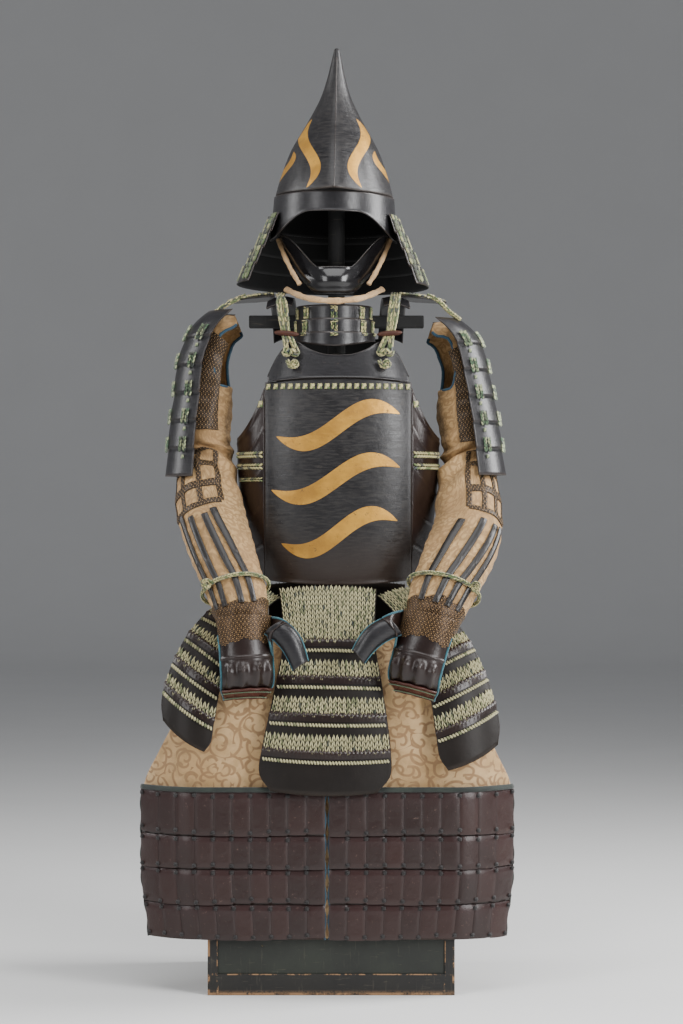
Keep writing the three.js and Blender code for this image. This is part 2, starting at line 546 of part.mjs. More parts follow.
// The directions along and across a plate, square to each other, and the one that faces the front.
function squared(row) {
  const along = new THREE.Vector3(...row.along).normalize(), across = new THREE.Vector3(...row.across);
  across.addScaledVector(along, -across.dot(along)).normalize();
  const out = new THREE.Vector3().crossVectors(across, along).normalize();
  if (out.y > 0) out.negate();
  return { along, across, out };
}
function handPoint(side) {
  const { along, across, out } = squared(HANDS[side]), origin = new THREE.Vector3(...HANDS[side].wrist);
  return (u, v) => {
    const a = mix(-HAND.spread, HAND.spread, u) * RAD, grow = smooth(v / 0.4);
    const wide = mix(HAND.wristHalf, HAND.half, grow), deep = mix(HAND.wristDeep, HAND.deep, grow);
    const bend = HAND.curl * RAD * smooth((v - HAND.knuckle) / (1 - HAND.knuckle));
    const straight = Math.min(v, HAND.knuckle) * HAND.length;
    const over = Math.max(0, v - HAND.knuckle) * HAND.length;
    const down = straight + over * Math.cos(bend * 0.6), back = over * Math.sin(bend * 0.8);
    return origin.clone().addScaledVector(along, down).addScaledVector(across, wide * Math.sin(a))
      .addScaledVector(out, deep * Math.cos(a) - back).toArray();
  };
}
const THUMB = { length: 74, half: 17, deep: 14, spread: 86 };
const THUMBS = {
  left: { root: [-97, -225, 582], along: [0.55, -0.30, -0.78], across: [0.80, 0.10, 0.58] },
  right: { root: [90, -224, 584], along: [-0.72, -0.28, -0.62], across: [-0.66, 0.06, 0.74] },
};
function thumbPoint(side) {
  const { along, across, out } = squared(THUMBS[side]), root = new THREE.Vector3(...THUMBS[side].root);
  return (u, v) => {
    const a = mix(-THUMB.spread, THUMB.spread, u) * RAD, narrow = 1 - 0.25 * v * v;
    return root.clone().addScaledVector(along, v * THUMB.length)
      .addScaledVector(across, THUMB.half * narrow * Math.sin(a))
      .addScaledVector(out, THUMB.deep * narrow * Math.cos(a) - 10 * v * v).toArray();
  };
}
const WRIST_CORD = { t: 0.868, radius: 2.6, lift: 6 };
function wristCord(side) {
  const steps = 14, { t, radius, lift } = WRIST_CORD;
  const ring = Array.from({ length: steps }, (_, i) => {
    const turn = i / steps;
    return sleevePoint(side, turn, t - 0.01 * Math.sin(2 * Math.PI * turn), lift + radius + GAP);
  });
  return bar(ring, WRIST_CORD.radius, { sides: 6, steps: 22, closed: true });
}
function buildSleeves() {
  for (const { side, s } of SIDES) {
    const tube = { across: 16, along: 14, thickness: CLOTH, closed: true, outward: s };
    piece(suit, "sleeve_" + side, wall(sleeveWall(side), tube), BROCADE);
    const strip = { across: 1, along: 8, thickness: SPLINT.thickness, outward: s };
    for (const row of SPLINTS[side]) {
      piece(suit, "splint_" + side + "_" + row.name, wall(splintPoint(side, row), strip), BLACK_LACQUER);
    }
    const hand = { across: 12, along: 8, thickness: LEATHER, outward: s };
    const thumb = { across: 6, along: 4, thickness: LEATHER, outward: -s };
    piece(suit, "wrist_cord_" + side, wristCord(side), CORD);
    piece(suit, "hand_guard_" + side, wall(handPoint(side), hand), RUSSET_LACQUER);
    piece(suit, "thumb_guard_" + side, wall(thumbPoint(side), thumb), RUSSET_LACQUER);
  }
}

// ---------------------------------------------------------------- shoulder guards
// Rows: height, and how far the middle of the arc lies from the suit's middle.
const SHOULDER_GUARDS = {
  left: [
    { z: 1094, x: 143 },
    { z: 1072, x: 165 },
    { z: 1045, x: 180 },
    { z: 1000, x: 192 },
    { z: 955, x: 195 },
    { z: 900, x: 201 },
    { z: 820, x: 204 },
  ],
  right: [
    { z: 1081, x: 135 },
    { z: 1060, x: 157 },
    { z: 1035, x: 171 },
    { z: 1000, x: 179 },
    { z: 955, x: 187 },
    { z: 900, x: 195 },
    { z: 822, x: 202 },
  ],
};
const GUARD = { lames: 6, spread: 68, radius: 66, step: 1, depth: 3, lean: 24 };
function guardPoint(side) {
  const rows = SHOULDER_GUARDS[side], s = side === "left" ? -1 : 1, top = rows[0].z, bottom = rows.at(-1).z;
  return (u, v) => {
    const drop = 1 - v, lame = Math.min(GUARD.lames - 1, Math.floor(drop * GUARD.lames + 1e-6));
    const z = mix(bottom, top, v), a = mix(-GUARD.spread, GUARD.spread, u) * RAD;
    const r = GUARD.radius + GUARD.step * (lame + 1.5 * (drop * GUARD.lames - lame));
    const x = column(rows, "z", "x", z) + r * Math.cos(a);
    return [s * x, GUARD.depth - GUARD.lean * drop + r * Math.sin(a), z];
  };
}
// Two rows for each lame, so that its lower edge stands in front of the one below.
const steppedRows = (breaks, edge = 0.004) => {
  const rows = [0];
  for (const b of breaks) rows.push(b - edge, b + edge);
  return [...rows, 1];
};
function buildShoulderGuards() {
  const breaks = Array.from({ length: GUARD.lames - 1 }, (_, i) => (i + 1) / GUARD.lames);
  for (const { side, s } of SIDES) {
    const guard = { across: 8, rows: steppedRows(breaks), thickness: LAME, outward: -s };
    piece(suit, "shoulder_guard_" + side, wall(guardPoint(side), guard), BLACK_LACQUER);
  }
}

// ---------------------------------------------------------------- tassets
// Where each lame of a tasset starts, as a share of its length; above the first is laced cord alone.
const TASSET_BREAKS = [0.308, 0.488, 0.659, 0.82];
const TASSET_WIDTH = [
  { t: 0, half: 0.76 },
  { t: 0.14, half: 0.72 },
  { t: 0.3, half: 0.7 },
  { t: 0.49, half: 0.8 },
  { t: 0.66, half: 0.9 },
  { t: 0.82, half: 0.99 },
  { t: 0.93, half: 1 },
  { t: 1, half: 0.8 },
];
// top, knee and foot: the curve its middle follows down; across and acrossFoot: the way its rows run
// above and below; bow: the radius it is bent to.
const TASSETS = [
  { name: "front", top: [-14, -128, 645], knee: [-6, -212, 508], foot: [-20, -204, 320],
    across: [1, 0, 0], acrossFoot: [1, 0, -0.02], half: 105, bow: 320 },
  { name: "front_left", top: [-124, -92, 640], knee: [-228, -176, 568], foot: [-241, -196, 408],
    across: [0.82, -0.5, -0.2], acrossFoot: [0.76, -0.34, -0.54], half: 55, bow: 105 },
  { name: "front_right", top: [106, -96, 640], knee: [196, -174, 562], foot: [217, -196, 374],
    across: [0.85, 0.45, 0.1], acrossFoot: [0.84, 0.34, 0.40], half: 60, bow: 105 },
  { name: "side_left", top: [-153, 34, 642], knee: [-228, 32, 540], foot: [-229, 30, 396],
    across: [0.05, -1, 0.04], acrossFoot: [0.05, -1, 0.04], half: 62, bow: 140 },
  { name: "side_right", top: [153, 34, 642], knee: [204, 32, 540], foot: [212, 30, 396],
    across: [0.05, 1, -0.04], acrossFoot: [0.05, 1, -0.04], half: 62, bow: 140 },
  { name: "back_left", top: [-62, 122, 644], knee: [-70, 190, 520], foot: [-76, 206, 356],
    across: [-1, 0.1, 0], acrossFoot: [-1, 0.1, 0], half: 72, bow: 190 },
  { name: "back_right", top: [62, 122, 644], knee: [70, 190, 520], foot: [76, 206, 356],
    across: [-1, -0.1, 0], acrossFoot: [-1, -0.1, 0], half: 72, bow: 190 },
];
function tassetPoint(row) {
  const vector = (name) => new THREE.Vector3(...row[name]);
  const curve = new THREE.QuadraticBezierCurve3(vector("top"), vector("knee"), vector("foot"));
  const upper = vector("across").normalize(), lower = vector("acrossFoot").normalize();
  const bodyOut = new THREE.Vector3(row.top[0], row.top[1], 0);
  return (u, v) => {
    const t = 1 - v, lame = TASSET_BREAKS.filter((b) => t > b).length;
    const across = upper.clone().lerp(lower, smooth(t / 0.55)).normalize();
    const out = new THREE.Vector3().crossVectors(across, curve.getTangent(t)).normalize();
    if (out.dot(bodyOut) < 0) out.negate();
    const half = row.half * column(TASSET_WIDTH, "t", "half", t), x = mix(-half, half, u), a = x / row.bow;
    const sag = 5 * smooth((t - 0.3) / 0.7) * (1 - (x / half) ** 2);
    return curve.getPoint(t).addScaledVector(curve.getTangent(t), sag)
      .addScaledVector(across, row.bow * Math.sin(a))
      .addScaledVector(out, row.bow * (Math.cos(a) - 1) + lame * 2.2).toArray();
  };
}
function buildTassets() {
  const rows = steppedRows([...TASSET_BREAKS].reverse().map((b) => 1 - b));
  rows.splice(1, 0, 0.03, 0.07);
  for (const row of TASSETS) {
    const skirt = { across: 6, rows, thickness: LAME, outward: tassetFlip(row) };
    piece(suit, "tasset_" + row.name, wall(tassetPoint(row), skirt), LACED);
  }
}
// Which side of a tasset faces away from the body, for its thickness to go inwards.
function tassetFlip(row) {
  const f = tassetPoint(row), p = (u, v) => new THREE.Vector3(...f(u, v));
  const n = p(0.6, 0.5).sub(p(0.4, 0.5)).cross(p(0.5, 0.6).sub(p(0.5, 0.4)));
  return n.dot(new THREE.Vector3(row.top[0], row.top[1], 0)) > 0 ? 1 : -1;
}

// ---------------------------------------------------------------- thigh apron
// Rows of the cloth: height, half width, how far it hangs in front.
const APRON = [
  { z: 576, half: 118, reach: 126 },
  { z: 548, half: 158, reach: 143 },
  { z: 520, half: 190, reach: 159 },
  { z: 500, half: 205, reach: 168.5 },
  { z: 480, half: 217, reach: 172 },
  { z: 430, half: 244, reach: 174 },
  { z: 380, half: 270, reach: 175 },
  { z: 322, half: 296, reach: 175 },
  { z: 200, half: 296, reach: 175 },
  { z: 86, half: 284, reach: 175 },
];
const PANEL = { top: 321, bottom: 84, half: 299, split: 3,
  breaks: [0.3, 0.524, 0.762], step: 2.4, proud: 5.2 };
// Depth of the hanging cloth across: flat in front of the chest, falling back past its corners.
const fallBack = (x) => 0.0056 * Math.max(0, Math.abs(x) - 196) ** 2;
function apronPoint(u, v) {
  const z = mix(APRON.at(-1).z, APRON[0].z, v), half = column(APRON, "z", "half", z);
  const x = mix(-half, half, u);
  return [x, -column(APRON, "z", "reach", z) + fallBack(x), z];
}
function panelPoint(s) {
  return (u, v) => {
    const t = 1 - v, rowsBelow = PANEL.breaks.filter((b) => t <= b).length;
    const far = PANEL.half * (1 - 0.04 * smooth((t - 0.55) / 0.45)), x = mix(PANEL.split, far, u);
    const proud = PANEL.proud + rowsBelow * PANEL.step;
    return [s * x, -APRON.at(-1).reach - proud + fallBack(x), mix(PANEL.bottom, PANEL.top, v)];
  };
}
function buildApron() {
  const hem = APRON.at(-1).z, rows = APRON.map((r) => (r.z - hem) / (APRON[0].z - hem)).reverse();
  piece(apron, "apron_cloth", wall(apronPoint, { across: 16, rows, thickness: CLOTH }), BROCADE);
  const plateRows = steppedRows([...PANEL.breaks].reverse().map((b) => 1 - b));
  for (const { side, s } of SIDES) {
    const panel = { across: 8, rows: plateRows, thickness: LAME, outward: s };
    piece(apron, "apron_plates_" + side, wall(panelPoint(s), panel), RUSSET_LACQUER);
  }
}

buildChest();
buildStand();
buildHelmet();
buildMask();
buildCuirass();
buildSleeves();
buildShoulderGuards();
buildTassets();
buildApron();

const armour = new THREE.Group();
armour.add(stand, suit, apron);
export default armour;
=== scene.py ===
# %% [markdown]
# # A suit of samurai armour on its storage chest
# The suit stands empty on a hidden post, above the lacquered chest it is stored in. Its iron and
# leather plates are thin, curved and laced to each other with silk, so nearly everything here is
# one of three things: a lacquered shell, a run of braid, or brocade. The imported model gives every
# piece its place and size. This script dresses those pieces with finer shells of the same curves.

import bmesh
import bpy
import math
import numpy as np
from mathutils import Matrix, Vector


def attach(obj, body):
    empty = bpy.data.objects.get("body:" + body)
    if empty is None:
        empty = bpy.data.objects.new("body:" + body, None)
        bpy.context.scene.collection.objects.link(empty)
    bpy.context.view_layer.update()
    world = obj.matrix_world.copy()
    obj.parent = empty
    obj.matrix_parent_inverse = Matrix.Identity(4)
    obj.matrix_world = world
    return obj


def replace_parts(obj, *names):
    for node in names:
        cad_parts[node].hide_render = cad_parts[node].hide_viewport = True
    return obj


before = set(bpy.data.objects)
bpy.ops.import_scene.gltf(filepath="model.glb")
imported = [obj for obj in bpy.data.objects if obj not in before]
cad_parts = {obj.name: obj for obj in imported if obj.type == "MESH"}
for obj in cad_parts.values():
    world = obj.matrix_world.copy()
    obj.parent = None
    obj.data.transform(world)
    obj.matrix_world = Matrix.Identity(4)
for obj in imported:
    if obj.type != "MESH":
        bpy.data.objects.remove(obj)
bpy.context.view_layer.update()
MM = 0.001
rng = np.random.default_rng(11)

# %% [markdown]
# ## Camera
# A long lens from straight ahead, at the height of the waist, so that the suit keeps the upright,
# nearly flat look of a piece in a museum case. The sensor is fitted to the height of the frame.

# %% Camera
CAMERA_AT, FOCAL_LENGTH = (0.0164, -4.5, 0.7685), 95.87
camera_data = bpy.data.cameras.new("camera")
camera_data.sensor_fit = "VERTICAL"
camera_data.sensor_height = 36
camera_data.lens = FOCAL_LENGTH
camera = bpy.data.objects.new("camera", camera_data)
camera.location = CAMERA_AT
camera.rotation_euler = (math.radians(90), 0, 0)
bpy.context.scene.collection.objects.link(camera)
bpy.context.scene.camera = camera

# %% [markdown]
# ## Light and floor
# Lacquer shows what it reflects. Two tall soft boxes in front draw the long highlights down the
# breastplate and the helmet, two more at the sides light the edges, stronger on the right, and a broad
# one above fills the rest. A pale floor rolls up into a wall far behind, clear of every side view.

# %% Lights and floor
def area_light(name, place, target_height, size, power):
    """A rectangular soft box that faces the suit at one height."""
    data = bpy.data.lights.new(name, "AREA")
    data.shape = "RECTANGLE"
    data.size, data.size_y = size
    data.energy = power
    light = bpy.data.objects.new(name, data)
    light.location = place
    aim = Vector((0, 0, target_height)) - Vector(place)
    light.rotation_euler = aim.to_track_quat("-Z", "Y").to_euler()
    bpy.context.scene.collection.objects.link(light)


area_light("left_box", (-1.9, -2.2, 1.5), 0.75, (0.8, 1.9), 30)
area_light("right_box", (1.9, -2.0, 1.5), 0.75, (0.8, 1.9), 80)
area_light("right_side", (2.1, 0.25, 1.9), 1.0, (0.9, 1.8), 95)
area_light("left_side", (-2.2, 0.1, 1.7), 0.9, (0.7, 1.8), 30)
area_light("top_box", (0, -1.2, 2.9), 0.7, (2.2, 1.6), 46)
world = bpy.data.worlds.new("studio")
bpy.context.scene.world = world
world.use_nodes = True
sky = world.node_tree.nodes["Background"].inputs
sky["Color"].default_value = (0.92, 0.94, 1, 1)
sky["Strength"].default_value = 0.24


def mesh_object(name, verts, faces):
    mesh = bpy.data.meshes.new(name)
    mesh.from_pydata([tuple(v) for v in verts], [], [tuple(f) for f in faces])
    mesh.polygons.foreach_set("use_smooth", [True] * len(mesh.polygons))
    obj = bpy.data.objects.new(name, mesh)
    bpy.context.scene.collection.objects.link(obj)
    return obj


WALL_AT, WALL_BEND, WALL_TOP, FLOOR_HALF = 12, 3, 14, 14
floor_line = [(-FLOOR_HALF, 0), (WALL_AT - WALL_BEND, 0)]
floor_line += [(WALL_AT - WALL_BEND + WALL_BEND * math.sin(a), WALL_BEND - WALL_BEND * math.cos(a))
               for a in np.linspace(0, math.pi / 2, 16)[1:]]
floor_line += [(WALL_AT, WALL_TOP)]
floor = mesh_object(
    "floor",
    [(x, y, z) for x in (-FLOOR_HALF, FLOOR_HALF) for y, z in floor_line],
    [(i, i + 1, i + 1 + len(floor_line), i + len(floor_line)) for i in range(len(floor_line) - 1)],
)

# %% [markdown]
# ## Materials from a few words
# Every finish is a small node graph. A wrapped socket lets the graph be written as sums, so that a
# mask reads like the thing it describes. One method makes any other node.

# %% A wrapped socket
class Value:
    """One output socket of a material's graph, with the usual operators."""

    def __init__(self, paint, socket):
        self.paint, self.socket = paint, socket

    def math(self, operation, *others):
        inputs = dict(enumerate((self,) + others))
        return self.paint.node("ShaderNodeMath", {"operation": operation}, inputs)

    def after(self, operation, other):
        inputs = {0: other, 1: self}
        return self.paint.node("ShaderNodeMath", {"operation": operation}, inputs)

    def __add__(self, other):
        return self.math("ADD", other)

    def __sub__(self, other):
        return self.math("SUBTRACT", other)

    def __rsub__(self, other):
        return self.after("SUBTRACT", other)

    def __mul__(self, other):
        return self.math("MULTIPLY", other)

    def __truediv__(self, other):
        return self.math("DIVIDE", other)

    def __abs__(self):
        return self.math("ABSOLUTE")

    __radd__ = __add__
    __rmul__ = __mul__

    def above(self, edge, soft=0.0001):
        """0 below the edge and 1 above it, over a soft step."""
        inputs = {0: self, 1: edge - soft, 2: edge + soft}
        return self.paint.node("ShaderNodeMapRange", {"interpolation_type": "SMOOTHSTEP"}, inputs)

    def below(self, edge, soft=0.0001):
        return 1 - self.above(edge, soft)


class Paint:
    """A material under construction."""

    def __init__(self, name):
        self.material = bpy.data.materials.new(name)
        self.material.use_nodes = True
        self.tree = self.material.node_tree
        self.shader = self.tree.nodes["Principled BSDF"]

    def node(self, kind, settings=None, inputs=None, output=0):
        made = self.tree.nodes.new(kind)
        for key, value in (settings or {}).items():
            setattr(made, key, value)
        for key, value in (inputs or {}).items():
            self.feed(made.inputs[key], value)
        return Value(self, made.outputs[output])

    def feed(self, socket, value):
        if isinstance(value, Value):
            self.tree.links.new(value.socket, socket)
        elif isinstance(value, tuple) and len(value) == 3 and socket.type == "RGBA":
            socket.default_value = (*value, 1)
        else:
            socket.default_value = value

    def mix(self, mask, low, high):
        """Colour low where the mask is 0 and high where it is 1."""
        return self.node("ShaderNodeMix", {"data_type": "RGBA"}, {0: mask, 6: low, 7: high}, 2)

    def place(self):
        """The point on the piece, in metres."""
        return self.node("ShaderNodeTexCoord", output="Object")

    def cut(self):
        """Across and along the flat cut of a piece, in metres."""
        uv = self.node("ShaderNodeUVMap", {"uv_map": "cut"})
        return self.parts(uv)[:2]

    def parts(self, vector):
        return [self.node("ShaderNodeSeparateXYZ", None, {0: vector}, axis) for axis in range(3)]

    def join(self, x, y, z=0.0):
        return self.node("ShaderNodeCombineXYZ", None, {0: x, 1: y, 2: z})

    def noise(self, vector, scale, detail=3.0, rough=0.55):
        inputs = {"Vector": vector, "Scale": scale, "Detail": detail, "Roughness": rough}
        return self.node("ShaderNodeTexNoise", None, inputs)

    def bump(self, height, depth):
        """Raises the surface by height times depth, in metres."""
        return self.node("ShaderNodeBump", None, {"Height": height, "Distance": depth, "Strength": 1.0})

    def finish(self, **sockets):
        """Sets the shader's sockets; underscores stand for spaces."""
        for key, value in sockets.items():
            self.feed(self.shader.inputs[key.replace("_", " ")], value)
        return self.material

# %% [markdown]
# ## Curved walls
# Each plate follows one surface, which is a function of two shares: u across the piece and v up it.
# A profile gives the widths and depths between a few measured rows. A shell is that surface at a fine
# spacing, with its back a plate's thickness behind and its rims rounded. Each shell also carries the
# lengths of its flat cut as a map named "cut", so a weave keeps its real size.

# %% Profiles, surfaces and shells
SUIT_AT = np.array([8.0, 0, 6])  # millimetres, as all sizes below until they reach a mesh
BODY_AT = np.array([11.0, 0, 6])
HEAD_AT = np.array([4.5, 0, 6])
APRON_AT = np.array([-6.5, 0, 6])
SIDES = (("left", -1), ("right", 1))
RAD = math.pi / 180


def smooth(t):
    c = np.clip(t, 0, 1)
    return c * c * (3 - 2 * c)


def blend(a, b, t):
    return a + (b - a) * t


def unit(v):
    v = np.asarray(v, float)
    return v / np.maximum(np.linalg.norm(v, axis=-1, keepdims=True), 1e-12)


def stack(x, y, z):
    return np.stack(np.broadcast_arrays(x, y, z), axis=-1).astype(float)


def profile(rows):
    """A smooth curve through rows of a place and its values, read as curve(place, column)."""
    table = np.array(sorted(rows), float)
    x, y = table[:, 0], table[:, 1:]
    rise = np.diff(y, axis=0) / np.diff(x)[:, None]
    slope = np.vstack([rise[:1], (y[2:] - y[:-2]) / (x[2:] - x[:-2])[:, None], rise[-1:]])

    def at(place, column=0):
        p = np.clip(place, x[0], x[-1])
        i = np.clip(np.searchsorted(x, p, "right") - 1, 0, len(x) - 2)
        h = x[i + 1] - x[i]
        t = (p - x[i]) / h
        low, high = y[i, column], y[i + 1, column]
        a, b = slope[i, column] * h, slope[i + 1, column] * h
        return (2 * t**3 - 3 * t**2 + 1) * low + (t**3 - 2 * t**2 + t) * a \
            + (3 * t**2 - 2 * t**3) * high + (t**3 - t**2) * b

    return at


def facing(surface, u, v, closed=False):
    """The unit normal of a surface, on the side from which u runs right as v runs up."""
    e = 1e-3
    if closed:
        across = surface((u + e) % 1, v) - surface((u - e) % 1, v)
    else:
        across = surface(np.minimum(u + e, 1), v) - surface(np.maximum(u - e, 0), v)
    along = surface(u, np.minimum(v + e, 1)) - surface(u, np.maximum(v - e, 0))
    return unit(np.cross(across, along))


def dress(name, verts, faces, material, nodes=(), cut=None):
    """Makes a mesh of millimetre points into a piece that rides with the suit."""
    title = name + "_finish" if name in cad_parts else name
    obj = mesh_object(title, np.asarray(verts) * MM, faces)
    obj.data.materials.append(material)
    if cut is not None:
        layer = obj.data.uv_layers.new(name="cut")
        index = np.empty(len(obj.data.loops), np.int32)
        obj.data.loops.foreach_get("vertex_index", index)
        layer.data.foreach_set("uv", np.asarray(cut, np.float32)[index].ravel())
    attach(obj, "root")
    if nodes:
        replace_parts(obj, *nodes)
    return obj


def edged(count, rim=0.004):
    """Even shares from 0 to 1 with one more close to each end, for a rounded rim."""
    even = np.linspace(0, 1, count)
    return np.concatenate([[0, rim], even[1:-1], [1 - rim, 1]])


RIM_EASE, BACK_RELIEF = 0.32, 0.6


def shell(name, surface, us, vs, thick, material, side=1, closed=False, relief=None, nodes=None,
          inside=None):
    """A wall behind a surface; side is 1 where the surface's normal already points outwards.
    nodes is what it replaces, if not its namesake, and inside is a second material for its back."""
    u, v = np.meshgrid(us, vs)
    points = surface(u, v)
    normal = facing(surface, u, v, closed) * side
    lift = np.zeros(u.shape) if relief is None else relief(u, v)
    rim = np.zeros(u.shape)
    rim[[0, -1], :] = RIM_EASE * thick
    if not closed:
        rim[:, [0, -1]] = RIM_EASE * thick
    outer = points + normal * (lift - rim)[..., None]
    inner = points + normal * (lift * BACK_RELIEF - thick + rim)[..., None]
    rows, cols = u.shape
    step_u = np.linalg.norm(np.diff(outer, axis=1), axis=-1)
    step_v = np.linalg.norm(np.diff(outer, axis=0), axis=-1)
    run_u = np.concatenate([np.zeros((rows, 1)), np.cumsum(step_u, axis=1)], axis=1)
    run_u = run_u - run_u[:, [cols // 2]]
    run_v = np.concatenate([np.zeros((1, cols)), np.cumsum(step_v, axis=0)], axis=0)
    cut = np.stack([run_u, np.broadcast_to(run_v.mean(axis=1, keepdims=True), u.shape)], -1)
    cut = cut.reshape(-1, 2) * MM
    index = np.arange(rows * cols).reshape(rows, cols)
    back = rows * cols
    right = np.roll(index, -1, axis=1) if closed else index[:, 1:]
    left = index if closed else index[:, :-1]
    quads = np.stack([left[:-1], right[:-1], right[1:], left[1:]], -1).reshape(-1, 4)
    rims = [(left[0], right[0], True), (left[-1], right[-1], False)]
    if not closed:
        rims += [(index[:-1, 0], index[1:, 0], False), (index[:-1, -1], index[1:, -1], True)]
    edge = []
    for a, b, flip in rims:
        strip = np.stack([a, b, b + back, a + back], -1)
        edge.append(strip[:, ::-1] if flip else strip)
    faces = np.concatenate([quads, quads[:, ::-1] + back, *edge])
    if side < 0:
        faces = faces[:, ::-1]
    obj = dress(name, np.concatenate([outer.reshape(-1, 3), inner.reshape(-1, 3)]), faces.tolist(),
                material, nodes=[name] if nodes is None else nodes, cut=np.concatenate([cut, cut]))
    if inside is not None:
        obj.data.materials.append(inside)
        behind = np.zeros(len(faces), np.int32)
        behind[len(quads):2 * len(quads)] = 1
        obj.data.polygons.foreach_set("material_index", behind)
    return obj


def run_along(path):
    """How far along a path each of its points lies."""
    return np.concatenate([[0], np.cumsum(np.linalg.norm(np.diff(path, axis=0), axis=1))])


def ways_round(path):
    """Two directions square to a path, at each of its points."""
    along = unit(np.gradient(path, axis=0))
    first = unit(np.cross(along, (0, -1, 0.2)))
    return first, np.cross(first, along)


def tube(name, path, radius, material, sides=12, nodes=(), flat=1.0):
    """A round or flattened bar along a path; radius is a number or one for each point."""
    path = np.asarray(path, float)
    count = len(path)
    first, second = ways_round(path)
    a = np.linspace(0, 2 * math.pi, sides, endpoint=False)
    r = np.broadcast_to(np.asarray(radius, float), (count,))[:, None, None]
    ring = first[:, None] * np.cos(a)[None, :, None] + second[:, None] * np.sin(a)[None, :, None] * flat
    verts = (path[:, None] + ring * r).reshape(-1, 3)
    index = np.arange(count * sides).reshape(count, sides)
    turned = np.roll(index, -1, axis=1)
    faces = np.stack([index[:-1], index[1:], turned[1:], turned[:-1]], -1).reshape(-1, 4).tolist()
    faces += [index[0].tolist(), index[-1][::-1].tolist()]
    run = run_along(path)
    cut = np.stack([np.broadcast_to(a * np.mean(radius), (count, sides)),
                    np.broadcast_to(run[:, None], (count, sides))], -1).reshape(-1, 2) * MM
    return dress(name, verts, faces, material, nodes=nodes, cut=cut)


def pick(table, run, at):
    """Rows of a table read between its points, by how far along they lie."""
    return np.stack([np.interp(at, run, table[:, k]) for k in range(3)], axis=1)


def route(points, count=40):
    """Even points on a smooth curve through a few given ones."""
    given = np.asarray(points, float)
    line = np.vstack([2 * given[0] - given[1], given, 2 * given[-1] - given[-2]])
    fine = []
    for i in range(len(line) - 3):
        p0, p1, p2, p3 = line[i:i + 4]
        t = np.linspace(0, 1, 16, endpoint=False)[:, None]
        fine.append(0.5 * (2 * p1 + (p2 - p0) * t + (2 * p0 - 5 * p1 + 4 * p2 - p3) * t**2
                           + (3 * p1 - p0 - 3 * p2 + p3) * t**3))
    fine = np.vstack(fine + [given[-1:]])
    run = run_along(fine)
    return pick(fine, run, np.linspace(0, run[-1], count))

# %% [markdown]
# ## Silk braid
# Flat braid is plaited, so it reads as a chain of small slanted stitches that meet in a V. Each stitch
# is a low-poly grain. Its map holds how far along the stitch a point lies and which thread it is, so
# one silk material gives cream, leaf green and dark stitches.

# %% Braid made of stitches
CREAM, GREEN, DARK = 0.1, 0.5, 0.9
GRAIN_FACES = [(0, 1, 2), (0, 2, 3), (1, 4, 5, 2), (2, 5, 6, 3), (4, 7, 5), (5, 7, 6)]


class Stitches:
    """Gathers slanted stitches into one mesh."""

    def __init__(self):
        self.verts, self.faces, self.cut, self.count = [], [], [], 0

    def add(self, start, end, up, half, height, thread):
        start, end = np.atleast_2d(start), np.atleast_2d(end)
        up, along = unit(np.broadcast_to(up, start.shape)), end - start
        side = unit(np.cross(along, up)) * half
        low, high = start + along * 0.24, start + along * 0.76
        rise = up * height
        rows = [start, low - side, low + rise, low + side, high - side, high + rise, high + side, end]
        points = np.stack(rows, axis=1).reshape(-1, 3)
        number = len(start)
        shares = np.tile([0, 0.24, 0.3, 0.24, 0.76, 0.7, 0.76, 1], number)
        threads = np.repeat(np.broadcast_to(thread, (number,)), 8)
        self.verts.append(points)
        self.cut.append(np.stack([shares, threads], -1))
        for k in range(number):
            base = self.count + 8 * k
            self.faces += [tuple(base + i for i in face) for face in GRAIN_FACES]
        self.count += 8 * number

    def spots(self, path, up, pitch, reach=None):
        """Even places about a pitch apart on a path: each point, its directions along the path, to the
        side and out, how many there are and how far apart. The way along is read over reach."""
        run = run_along(path)
        number = max(2, int(round(run[-1] / pitch)))
        step = run[-1] / number
        at, reach = (np.arange(number) + 0.5) * run[-1] / number, reach or step
        along = unit(pick(path, run, at + reach / 2) - pick(path, run, at - reach / 2))
        normal = unit(pick(up, run, at))
        return pick(path, run, at), along, np.cross(along, normal), normal, number, step

    def chain(self, path, up, half, pitch, height, flecks, dark):
        """A run of V stitches along a path, which lies on a surface whose normals are up."""
        here, along, side, normal, number, step = self.spots(path, up, pitch)
        for hand in (-1, 1):
            start = here + side * hand * half * 0.95 - along * step * 0.72
            end = here + side * hand * half * 0.14 + along * step * 0.72
            chance = rng.random(number)
            thread = np.where(chance < flecks, GREEN, np.where(chance < flecks + dark, DARK, CREAM))
            self.add(start, end, normal, half * 0.32, height, thread)

    def row(self, path, up, half, pitch, height, flecks, slant=1.0):
        """A twisted row of stitches along a path, all slanted one way."""
        here, along, side, normal, number, _ = self.spots(path, up, pitch, pitch)
        thread = np.where(rng.random(number) < flecks, GREEN, CREAM)
        lean = along * pitch * slant * (0.7 + 0.25 * rng.random((number, 1)))
        reach = side * half + lean
        self.add(here - reach, here + reach, normal, pitch * 0.37, height, thread)

    def round(self, path, radius, pitch, flecks, dark):
        """A round plaited cord: four chains of stitches about a path."""
        first, second = ways_round(path)
        for k in range(4):
            a = math.pi / 2 * k
            out = first * math.cos(a) + second * math.sin(a)
            self.chain(path + out * radius * 0.72, out, radius * 0.8, pitch, radius * 0.42, flecks, dark)

    def sew(self, name, material, nodes=()):
        print(name, len(self.faces), "faces")
        return dress(name, np.vstack(self.verts), self.faces, material, nodes, np.vstack(self.cut))


def down(surface, side, u, v_from, v_to, lift, count=24):
    """A path and its normals down a surface at one share across."""
    v = np.linspace(v_from, v_to, count)
    u = np.broadcast_to(np.asarray(u, float), v.shape)
    normal = facing(surface, u, v) * side
    return surface(u, v) + normal * lift, normal


